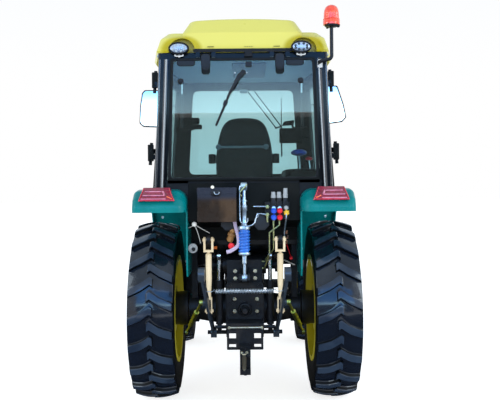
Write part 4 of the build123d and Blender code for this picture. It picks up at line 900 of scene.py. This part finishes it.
# ---- Engine bay ---------------------------------------------------------------------------
# What the hood covers: a radiator with its fan, a battery, an air cleaner, a pressed rocker cover
# and a cast manifold, bolted to the engine and to the tray between the side rails.
filler = [(0, 0), (0, 22), (14, 22), (18, 28), (26, 26), (27, 0)]
piece("radiator", "chassis_black", black_casting, panel((-190, 190, 766, 1072), 14, 2400, 58, 5),
      *[panel((-196, 196, z, z + 36), 12, 2408, 74, 8) for z in (764, 1046)],
      turned(at(60, 2372, 1076), UP, filler, 24))
FAN_HEIGHT, root_and_tip = 920, np.array([20, 130])
blade_radii = [14, 24, 32, 38, 40, 40, 38, 34]
blades = [
    tube(at(root_and_tip * np.cos(a), [2318, 2306], FAN_HEIGHT + root_and_tip * np.sin(a)),
         blade_radii, 12, 8, AHEAD, 0.14)
    for a in np.arange(6) * math.pi / 3
]
hub = [(0, 0), (0, 40), (30, 40), (36, 30), (38, 0)]
piece("cooling_fan", "black_plastic", cab_plastic, *blades,
      turned(at(0, 2332, FAN_HEIGHT), BACK, hub, 28))
shaft = [(0, 0), (0, 14), (560, 14), (562, 58), (610, 58), (612, 0)]
piece("fan_shaft", "zinc", bright_zinc, turned(at(0, 2300, FAN_HEIGHT), BACK, shaft, 28))
terminal = [(0, 0), (0, 10), (20, 9), (22, 0)]
piece("battery", "black_plastic", cab_plastic, panel((-95, 95, 762, 940), 8, 2260, 170, 5),
      turned(at([-62, 62], 2130, 938), UP, terminal, 16))
canister = [(0, 0), (0, 62), (6, 70), (180, 70), (184, 74), (196, 74), (200, 66), (216, 60)]
piece("air_cleaner", "black_plastic", cab_plastic,
      turned(at(-109, 1900, 1040), RIGHT, canister + [(218, 0)], 40),
      tube(at([0, 0, -20, -40], [1840, 1760, 1680, 1600], [1060, 1110, 1150, 1172]), 27, 16))
cover = rounded(box_outline(-72, 72, 1190, 1600), 24)
manifold = at([150, 186, 192, 192, 176], [1220, 1240, 1300, 1540, 1600],
              [1080, 1088, 1088, 1088, 1050])
piece("rocker_cover", "chassis_black", black_casting,
      plate(cover, at(0, 0, 1176), RIGHT, AHEAD, 44, 9, 5), tube(manifold, 25, 16))
piece("rocker_bolts", "zinc", bright_zinc, nuts(at(0, [1250, 1395, 1540], 1218), UP, 18, 12))

# ---- Cab shell ----------------------------------------------------------------------------
# Welded steel posts, rails and door frames in black gloss, glazed with blue-green safety glass.
# Rolled mouldings cover the rear and middle posts, and a rubber gasket holds the rear pane.
# both black paints carry a faint blue in their colour, a painted reflection of the sky
cab_black = sprayed("cab_black", (0.003, 0.005, 0.008), (0.007, 0.010, 0.016), 0.15, 0.10, 0.12)
post_gloss = sprayed("post_gloss", (0.010, 0.014, 0.022), (0.016, 0.022, 0.034), 0.10, 1.0, 0.5)
satin_black = sprayed("satin_black", (0.006, 0.008, 0.009), (0.012, 0.013, 0.013), 0.34, 0.0, 0.07)
dress(cab_black, "cab_posts", "cab_roof_ring", "cab_tub", "door_left", "door_right")
dress(satin_black, "cab_rear_wall", "rear_window_frame")


def glazing():
    """Blue-green safety glass: what passes is tinted at each face, a little greyer towards the
    top, under a very thin film of dust."""
    material, shader, place = finish(
        "tinted_glass", Specular_IOR_Level=0.5, Transmission_Weight=1.0, IOR=1.45
    )
    rise = place.along("Z").steps(1.7, 2.3)
    wire(
        shader,
        Base_Color=rise.tint((0.54, 0.740, 0.765), (0.56, 0.735, 0.75)),
        Roughness=place.noise(5.0, 4.0, 0.6).between(0.0, 0.02),
    )
    return material


dress(glazing(), "cab_glass", "door_glass_left", "door_glass_right", "rear_window_glass")
mouldings = []
for _, sign in HANDS:
    turned_out = (-0.515 * sign, 0.857, 0.0)
    for xs, y, zs, radius, around, facing, flat in (
        ([550, 532, 514], -408, [1492, 1925, 2356], 17, 20, turned_out, 0.14),
        ([590, 573, 556], -396, [1492, 1925, 2356], 9, 12, AHEAD, 1.0),
        ([620, 617, 613], 300, [1488, 1925, 2350], 12, 12, AHEAD, 0.8),
    ):
        mouldings.append(tube(at(sign * np.array(xs), y, zs), radius, around, 24, facing, flat))
piece("post_mouldings", "cab_black", post_gloss, *mouldings)

# The rear window's gasket, hinge covers, corner plates, strut knobs and struts, all of which
# lift with it, as its wiper does. The wiper's motor sits under the roof's lip.
WINDOW_Y = -423  # the frame's outer face, ahead of the rear axle
line = rounded([(-491, 1557), (491, 1557), (469, 2347), (-469, 2347)], 24, 8)
line = np.concatenate([line, line[:1]])
piece("rear_window_gasket", "black_plastic", rubber_strip,
      tube(at(line[:, 0], -432, line[:, 1]), 5, 8, 0, AHEAD, 0.6), on="rear_window")


def hinge_cover(middle):
    """Half a circle hangs under a nearly square top: down from the axis the height follows the
    sine, and above it the sine's fifth root."""
    half_width, drop, height, axis = 31, 38, 73, 2312
    a = np.linspace(0.0, 2 * math.pi, 41)[:-1]
    hanging = a > math.pi
    power = np.abs(np.sin(a)) ** np.where(hanging, 1.0, 0.2)
    rise = np.where(hanging, drop, height) * np.sign(np.sin(a)) * power
    outline = np.stack([middle + half_width * np.cos(a), axis + rise], -1)
    return plate(outline, at(0, -439, 0), RIGHT, UP, 6, 3, 2)


piece("window_hinge_covers", "black_plastic", cab_plastic, hinge_cover(-247), hinge_cover(247),
      nuts(at([-247, 247], -446, 2296), BACK, 17, 6), on="rear_window")
piece("window_corner_plates", "black_plastic", cab_plastic,
      *[panel((x - 61, x + 61, 2306, 2352), 26, WINDOW_Y, 7, 3, 1) for x in (-379, 348)],
      on="rear_window")
knob = [(0, 0), (0, 20), (4, 20), (7, 17), (13, 16), (15, 12), (15, 0)]
piece("strut_knobs", "black_plastic", cab_plastic,
      turned(at([-415, 386], -420, 2206), BACK, knob, 30), on="rear_window")
stud = [(0, 0), (0, 5), (4, 5), (6, 2), (6, 0)]
piece("window_struts", "zinc", bright_zinc,
      *[tube(at([x, x + lean], [-408, -404], [2190, 2120]), 6, 10, 4)
        for x, lean in ((-408, -1), (392, 1))],
      turned(at([-52, 26], WINDOW_Y, 2259), BACK, stud, 14), on="rear_window")
piece("window_strut_tubes", "black_plastic", cab_plastic,
      *[tube(at([x, x + lean], [-404, -398], [2124, 1900]), 9, 12, 4)
        for x, lean in ((-409, -4), (393, 4))], on="rear_window")
arm_radii = [9, 12, 14, 16, *[17] * 5, 16, 16, 15, 15, 14, 14, 13, 13, 12, 12, 11, 10, 10]
arm_radii += [9, 9, 9, 8, 8, 8]
spindle = [(0, 0), (0, 18), (14, 18), (18, 13), (34, 12), (36, 0)]
piece("rear_wiper", "black_plastic", cab_plastic,
      tube(at([4, -26, -60, -88], [-444, -452, -456, -454], [2262, 2228, 2170, 2118]),
           arm_radii, 14, 28, AHEAD, 0.45),
      tube(at([-80, -118, -150, -182], [-448, -446, -444, -440], [2146, 2052, 1978, 1906]),
           8, 12, 28, AHEAD, 0.8),
      tube(at([-112, -124], -448, [2072, 2040]), 14, 12, 6, AHEAD, 0.6),
      turned(at(2, -420, 2260), BACK, spindle, 26), panel((18, 60, 2297, 2334), 8, -422, 14, 3),
      on="rear_window")

# black rubber strips close the gap under the roof's lip and round the foot of the window
piece("roof_lip_strip", "black_plastic", rubber_strip,
      panel((-330, 334, 2398, 2421), 6, -425, 6, 2), panel((12, 66, 2366, 2408), 5, -402, 30, 3))
piece("window_seal", "black_plastic", rubber_strip, *[
    panel(edges, 8, -396, 7, 2)
    for edges in ((-512, 512, 1524, 1556), (372, 524, 1400, 1546), (-524, -372, 1400, 1546))])


# The doors' handles and hinges: a black pull on each door's front frame with a plated push
# button, and two bolted hinge leaves on the post behind the door.
def beside_door(y, z, out):
    """A place out from the right door's face, which leans in as it rises and as it runs ahead."""
    y, z = np.asarray(y, float), np.asarray(z, float)
    waist_x, waist, rear_edge, lean_in, taper = 656.0, 1700.0, 378.0, 0.07, 0.075
    return at(waist_x - lean_in * (z - waist) - taper * (y - rear_edge) + out, y, z)


pull = beside_door([1008, 1006, 1004, 1002], [1268, 1300, 1360, 1392], [4, 30, 30, 4])
button = [(0, 0), (0, 15), (10, 15), (12, 11), (18, 10), (20, 0)]
for hand, sign in HANDS:
    mirrored = [sign, 1.0, 1.0]
    piece(f"door_pull_{hand}", "black_plastic", cab_plastic, tube(mirrored * pull, 9, 12, 26),
          on=f"door_{hand}")
    piece(f"door_button_{hand}", "zinc", bright_zinc,
          turned(mirrored * beside_door(1008, 1240, 0), (sign, 0, 0), button, 22),
          on=f"door_{hand}")
    leaves = []
    for x0, x1, z0, z1 in ((652, 700, 2262, 2384), (690, 736, 1700, 1828)):
        corners = box_outline(sign * x0, sign * x1, z0, z1)[:: int(sign)]
        leaves.append(panel(corners, 8, 338, 14, 4, 2))
        leaves.append(nuts(at(sign * (x0 + x1) / 2, 326, [z0 + 20, z1 - 20]), BACK, 16, 7))
    piece(f"hinge_leaf_{hand}", "cab_black", satin_black, *leaves)

# ---- Inside the cab -----------------------------------------------------------------------
# A moulded grey headliner with a darker hatch, black trims round the windscreen and its wiper,
# a hanging control box, and a side console with a blue gear knob and a red throttle knob.
trim_black = soft_plastic("trim_black", (0.001, 0.0015, 0.002), 0.5, specular=0.04)


def trim_ring(outer, inner, y, depth, corner):
    """A flat ring between two rounded outlines of as many points, closed through its depth."""
    outer, inner = rounded(outer, corner, 8), rounded(inner, corner, 8)
    loops = ((outer, 0), (inner, 0), (inner, depth), (outer, depth))
    places = [at(loop[:, 0], y + off, loop[:, 1]) for loop, off in loops]
    return sheet(np.stack(places), close_u=True)


piece("windscreen_trim", "black_plastic", trim_black, trim_ring(
    [(-592, 1580), (592, 1580), (568, 2392), (-568, 2392)],
    [(-468, 1606), (468, 1606), (428, 2322), (-428, 2322)], 985, 26, 52))
ceiling = rounded([(-585, 385), (585, 385), (585, -985), (-585, -985)], 60)
piece("headliner", "black_plastic", soft_plastic("liner_grey", (0.34, 0.42, 0.46), 0.6, 120.0, 0.1),
      plate(ceiling, at(0, 0, 2396), RIGHT, BACK, 8, 3))
hatch_blue_grey = soft_plastic("hatch_blue_grey", (0.004, 0.008, 0.024), 0.4, specular=0.1)
piece("roof_hatch", "black_plastic", hatch_blue_grey,
      plate(rounded(box_outline(-78, 172, -60, 650), 30), at(0, 0, 2381), RIGHT, AHEAD, 5, 3))
piece("control_box", "black_plastic", trim_black,
      panel((299, 486, 1856, 1978), 10, 800, 70, 5, 3),
      panel([(322, 2004), (420, 2010), (430, 2052), (340, 2040)], 12, 850, 30, 4, 3),
      tube(at([470, 520, 560], 860, [1900, 1900, 1890]), 14),
      tube(at([410, 420, 470, 540], [840, 850, 880, 960], [2020, 1990, 1985, 2000]), 9))
piece("grab_lamp", "black_plastic", trim_black, panel((-452, -372, 2032, 2088), 18, 970, 46, 8, 6),
      panel((-444, -352, 1990, 2030), 12, 960, 30, 6, 4),
      tube(at([-400, -450, -520], 960, [2010, 1990, 1990]), 12))
bracket_white = soft_plastic("bracket_white", (0.62, 0.64, 0.66))
piece("windscreen_wiper_gear", "lamp_glass", bracket_white,
      panel([(-34, 2332), (42, 2332), (36, 2298), (-26, 2298)], 8, 1000, 16, 2))
piece("windscreen_wiper", "black_plastic", cab_plastic,
      tube(at([44, 284], [1103, 1100], [2325, 2010]), 5, 8, 8),
      tube(at([100, 328], [1103, 1100], [2330, 2024]), 5, 8, 8),
      tube(at([276, 336], [1100, 1100], [2006, 2022]), 7, 8, 6),
      tube(at([333, 333], [1104, 1104], [2266, 1757]), [4] * 8 + [7] * 8, 8, 16))
console_top = rounded([(300, -60), (560, -60), (560, 560), (300, 560)], 50)
piece("side_console", "black_plastic", trim_black,
      plate(rounded(box_outline(60, 640, 1500, 1606), 40), at(392, 0, 0), AHEAD, UP, 1, 1),
      plate(console_top, at(0, 0, 1470), RIGHT, AHEAD, 150, 18, 10))
ball = [(0, 0), (0, 20), (6, 40), (16, 60), (30, 61), (42, 48), (50, 24), (52, 0)]
piece("gear_knob", "black_plastic", soft_plastic("knob_blue", (0.01, 0.05, 0.42), 0.3),
      turned(at(423, 300, 1730), UP, ball, 30))
piece("lever_stems", "zinc", pale_zinc, tube(at([430, 428, 423], 300, [1600, 1680, 1735]), 6),
      tube(at([505, 500, 496], 250, [1600, 1660, 1700]), 5))
ball = [(0, 0), (0, 16), (6, 26), (18, 27), (26, 16), (28, 0)]
piece("throttle_knob", "red_lens", red_gloss, turned(at(495, 250, 1694), UP, ball, 24))

# ---- Seat ---------------------------------------------------------------------------------
# Moulded foam under black vinyl, crowned between its sewn channels and drawn in at its sides,
# with a piped seam, a concertina base, a lumbar bar on round ends and two armrests.
vinyl, shader, place = finish("seat_vinyl", Specular_IOR_Level=0.10)
crease = place.noise(26.0, 4.0, 0.6)
wire(
    shader,
    Base_Color=crease.steps(0.4, 0.7).tint((0.003, 0.005, 0.006), (0.008, 0.011, 0.013)),
    Roughness=crease.between(0.35, 0.65),
    Normal=(place.noise(300.0, 3.0) + 2.0 * crease).bump(0.25, 0.002),
)


def cushion(outline, origin, right, up, half, pitch, channel=5.0):
    """A pillow on a closed outline: share^3.2 + depth^3.2 = 1 from the middle of one face, over
    the seam, to the middle of the other, less a sewn channel once in every pitch upwards."""
    power = 3.2
    outline = np.asarray(outline, float)
    smooth = curve_through(np.vstack([outline, outline[:1]]), 97)[:-1]
    middle = (smooth.min(0) + smooth.max(0)) / 2
    t = np.linspace(-math.pi / 2, math.pi / 2, 45)
    share, depth = (np.sign(s) * np.abs(s) ** (2 / power) for s in (np.cos(t), np.sin(t)))
    share[[0, -1]] = 0.0
    flat = middle + share[:, None, None] * (smooth - middle)[None]
    from_channel = ((flat[..., 1] / pitch + 0.5) % 1.0 - 0.5) * pitch
    channel_width = 5.0
    swell = 1.0 - (channel / half) * np.exp(-(from_channel / channel_width) ** 2)
    rise = half * depth[:, None] * swell
    spot = flat[..., :1] * right + flat[..., 1:] * up + rise[..., None] * np.cross(right, up)
    seam = smooth[:, :1] * right + smooth[:, 1:] * up
    return origin + spot / 1000.0, origin + seam / 1000.0


def both_sides(half_outline, middle, shift=0.0):
    """A closed outline from its right half, the first of whose points is on the middle line."""
    mirrored = [(-x, z) for x, z in half_outline[:0:-1]]
    return np.array(half_outline + [middle] + mirrored, float) + [shift, 0]


half_back = [(0, 1404), (110, 1400), (198, 1408), (204, 1480), (198, 1560), (200, 1680)]
half_back += [(194, 1760), (186, 1815), (168, 1885), (145, 1938), (108, 1972), (55, 1986)]
half_base = [(0, -14), (130, -16), (208, -14), (220, 60), (212, 190), (220, 340), (206, 408)]
half_base += [(110, 416)]
for name, line, origin, up, half, pitch, stands_for in (
    ("seat_back", both_sides(half_back, (0, 1988), 6), at(0, -34, 0), UP, 52.0, 62.0, None),
    ("seat_cushion", both_sides(half_base, (0, 412)), at(0, 0, 1330), AHEAD, 58.0, 86.0, "seat"),
):
    grid, seam = cushion(line, origin, RIGHT, up, half, pitch)
    pad = piece(name, "seat_vinyl", vinyl, grid, sharp=60.0, replaces=stands_for)
    piece(f"{name}_piping", "seat_vinyl", vinyl, tube(np.vstack([seam, seam[:1]]), 4.0, 8, 0))
knob = [(0, 0), (0, 19), (18, 20), (24, 17), (28, 10), (28, 0)]
piece("lumbar_bar", "seat_vinyl", soft_plastic("lumbar_grey", (0.15, 0.19, 0.23), 0.4),
      tube(at([-170, 150], -97, 1782), 8, 12, 6),
      turned(at([-178, 160], -80, 1782), BACK, knob, 28))
arm = rounded([(-62, 1664), (270, 1690), (270, 1730), (-62, 1736)], 22)
arms = []
for _, sign in HANDS:
    arms.append(plate(arm, at(-22 + 229 * sign, 0, 0), AHEAD, UP, 50, 12, 4))
    arms.append(tube(at(sign * np.array([204, 240]), -30, 1700), 16, 14, 4))
piece("armrests", "seat_vinyl", vinyl, *arms)
step, step_height, inner, outer = np.arange(25), 6.0, 150.0, 168.0
folds = [(0, 0), *zip(step * step_height, np.where(step % 4 < 2, inner, outer)), (148, 0)]
piece("seat_boot", "seat_vinyl", trim_black, turned(at(0, 165, 1122), UP, folds, 48))

# ---- Roof ---------------------------------------------------------------------------------
# One vacuum-formed skin of pale yellow plastic, glossy and a little wavy, deeper in colour along
# its lower edge, and darker with painted shade in the lamps' arches.
def roof_skin():
    """Yellow plastic, darker with painted shade within an ellipse round each lamp's arch, the sum
    of the squares of the distances from its middle in half widths and half heights, but only at the
    rear."""
    material, shader, place = finish(
        "roof_yellow", coat=0.2, coat_roughness=0.15, Specular_IOR_Level=0.3
    )
    lift = place.along("Z").steps(2.40, 2.46)
    arch_x, arch_z, half_widths, half_heights = 0.41, 2.425, 8.0, 12.0  # the last two per metre
    beside = place.along("X").math("ABSOLUTE") * half_widths - arch_x * half_widths
    above = place.along("Z") * half_heights - arch_z * half_heights
    # painted shade: the roof is darker inside each ellipse, in the recess round each lamp
    clear_of_arch_shade = (beside * beside + above * above).steps(0.8, 1.5)
    clear_of_arch_shade = clear_of_arch_shade.math("MAXIMUM", place.along("Y").steps(-1.29, -1.20))
    face = lift.tint((0.62, 0.56, 0.075), (0.62, 0.575, 0.125))
    wire(
        shader,
        Base_Color=clear_of_arch_shade.tint((0.43, 0.36, 0.004), face),
        Roughness=place.noise(2.6, 3.0, 0.55).steps(0.3, 0.7).between(0.25, 0.42),
        Normal=place.noise(9.0, 2.0).bump(0.15, 0.01),
    )
    return material


dress(roof_skin(), "roof")
slots, foot, top = [(-236, 44), *[(12 + 15 * i, 9) for i in range(4)], (206, 44)], 2433, 2436.4
piece("roof_vents", "black_plastic", rubber_strip,
      *[panel((x, x + wide, foot, top), 1.6, -426, 3, 1) for x, wide in slots])

# ---- Work lamps ---------------------------------------------------------------------------
# Oval lamps: a black rubber bezel round a domed grey reflector with a ring of eight diodes,
# each on a small bracket.
reflector_grey = plated("reflector_grey", (0.62, 0.66, 0.74), (0.50, 0.54, 0.62), 0.45)
# the two lamps' diodes are alike: painted pale on the left lamp as painted light, and dark on the
# right as painted shade
diode_shaded = soft_plastic("diode_shaded", (0.03, 0.04, 0.045), 0.2)
diode_lit = soft_plastic("diode_lit", (0.30, 0.36, 0.42), 0.2)
LAMP_Y = -452  # the bezels' face, ahead of the rear axle
circle = np.linspace(0.0, 2 * math.pi, 49)[:-1]
circle = np.stack([np.cos(circle), np.sin(circle)], -1)
eight = (np.arange(8) + 0.5) * math.pi / 4
cup = [(0, 0), (0, 8.5), (5, 8.5), (6.5, 6.5), (6.0, 0)]
for hand, x, z, diode, stands_for in (
    ("left", -425.0, 2422.0, diode_lit, "work_lamps"), ("right", 390.0, 2426.0, diode_shaded, None)
):
    middle = np.array([x, z])
    rim = middle + circle * [63, 36]
    bezel = tube(at(rim[:, 0], LAMP_Y, rim[:, 1])[np.r_[0:48, 0]], 6, 10, 0)
    piece(f"work_lamp_shell_{hand}", "black_plastic", rubber_strip, bezel,
          plate(middle + circle * [64, 37], at(0, -402, 0), RIGHT, UP, 50, 4),
          replaces=stands_for)
    piece(f"work_lamp_dish_{hand}", "lamp_glass", reflector_grey,
          plate(middle + circle * [59, 33], at(0, LAMP_Y + 2, 0), RIGHT, UP, 4, 1, 9))
    spots = at(x + 41 * np.cos(eight), LAMP_Y - 4, z + 20.5 * np.sin(eight))
    piece(f"work_lamp_diodes_{hand}", "lamp_glass", diode, turned(spots, BACK, cup, 18))
    piece(f"work_lamp_foot_{hand}", "zinc", bracket_white,
          tube(at(x + np.array([-26, -24, 0, 24, 26]), -428,
                  z + np.array([-38, -46, -48, -46, -38])), 5),
          tube(at([x, x], [-404, -428], z - 47), 9, 12, 4))

# ---- Beacon and mirrors -------------------------------------------------------------------
# A translucent orange dome, faceted inside, on a black clamp and a bent tube; and two mirrors in
# black shells on the front posts.
POLE_X, POLE_Y = 590, -462
dome = [(0, 0), (0, 53), (4, 54), (6, 50), (38, 49), (62, 46), (82, 38), (93, 24), (99, 8)]
dome = turned(at(POLE_X, POLE_Y, 2600), UP, dome + [(101, 0)], 96)
axis = at(POLE_X, POLE_Y, 0)
spin = dome - axis
facets, facet_depth = 16, 0.022
facet = 1.0 + facet_depth * np.cos(np.arctan2(spin[..., 1], spin[..., 0]) * facets)
dome = axis + spin * np.stack([facet, facet, np.ones_like(facet)], -1)
piece("beacon_dome", "orange_lens",
      lens("beacon_orange", (0.92, 0.10, 0.045), (0.70, 0.045, 0.02), 0.12), dome,
      turned(at(POLE_X, POLE_Y, 2566), UP, [(0, 0), (0, 55), (30, 56), (34, 52), (34, 0)], 64),
      replaces="beacon", sharp=50.0)
clamp = [(0, 0), (0, 16), (2, 40), (8, 46), (14, 46), (15, 0)]
ear = 48 * np.array([0.8, 1.0, 1.06])
piece("beacon_clamp", "black_plastic", cab_plastic,
      turned(at(POLE_X, POLE_Y, 2552), UP, clamp, 40),
      *[tube(at(POLE_X + ear * np.cos(a), POLE_Y + ear * np.sin(a), [2556, 2556, 2570]), 7)
        for a in (0.0, 2.1, 4.2)])
piece("pole_bracket", "zinc", bracket_white, panel((498, 534, 2292, 2348), 6, -411, 4, 1),
      nuts(at([507, 525], -414, [2301, 2339]), BACK, 12, 7))

dress(cab_plastic, "mirrors")
silver, shader, place = finish("mirror_silver", metallic=1.0)
haze = place.noise(5.0, 3.0)
wire(
    shader,
    Base_Color=haze.tint((0.92, 0.94, 0.95), (0.86, 0.89, 0.90)),
    Roughness=haze.between(0.01, 0.05),
)
right_line = [(742, 2052), (864, 2069), (893, 2104), (870, 2212), (820, 2369), (742, 2369)]
left_line = [(742, 2033), (872, 2041), (900, 2067), (893, 2214), (876, 2322), (858, 2343)]
for (hand, sign), line in zip(HANDS, (left_line + [(742, 2343)], right_line)):
    outline = [(sign * x, z) for x, z in line][:: int(sign)]
    piece(f"mirror_face_{hand}", "chrome", silver, panel(outline, 16, 1134, 4, 1))
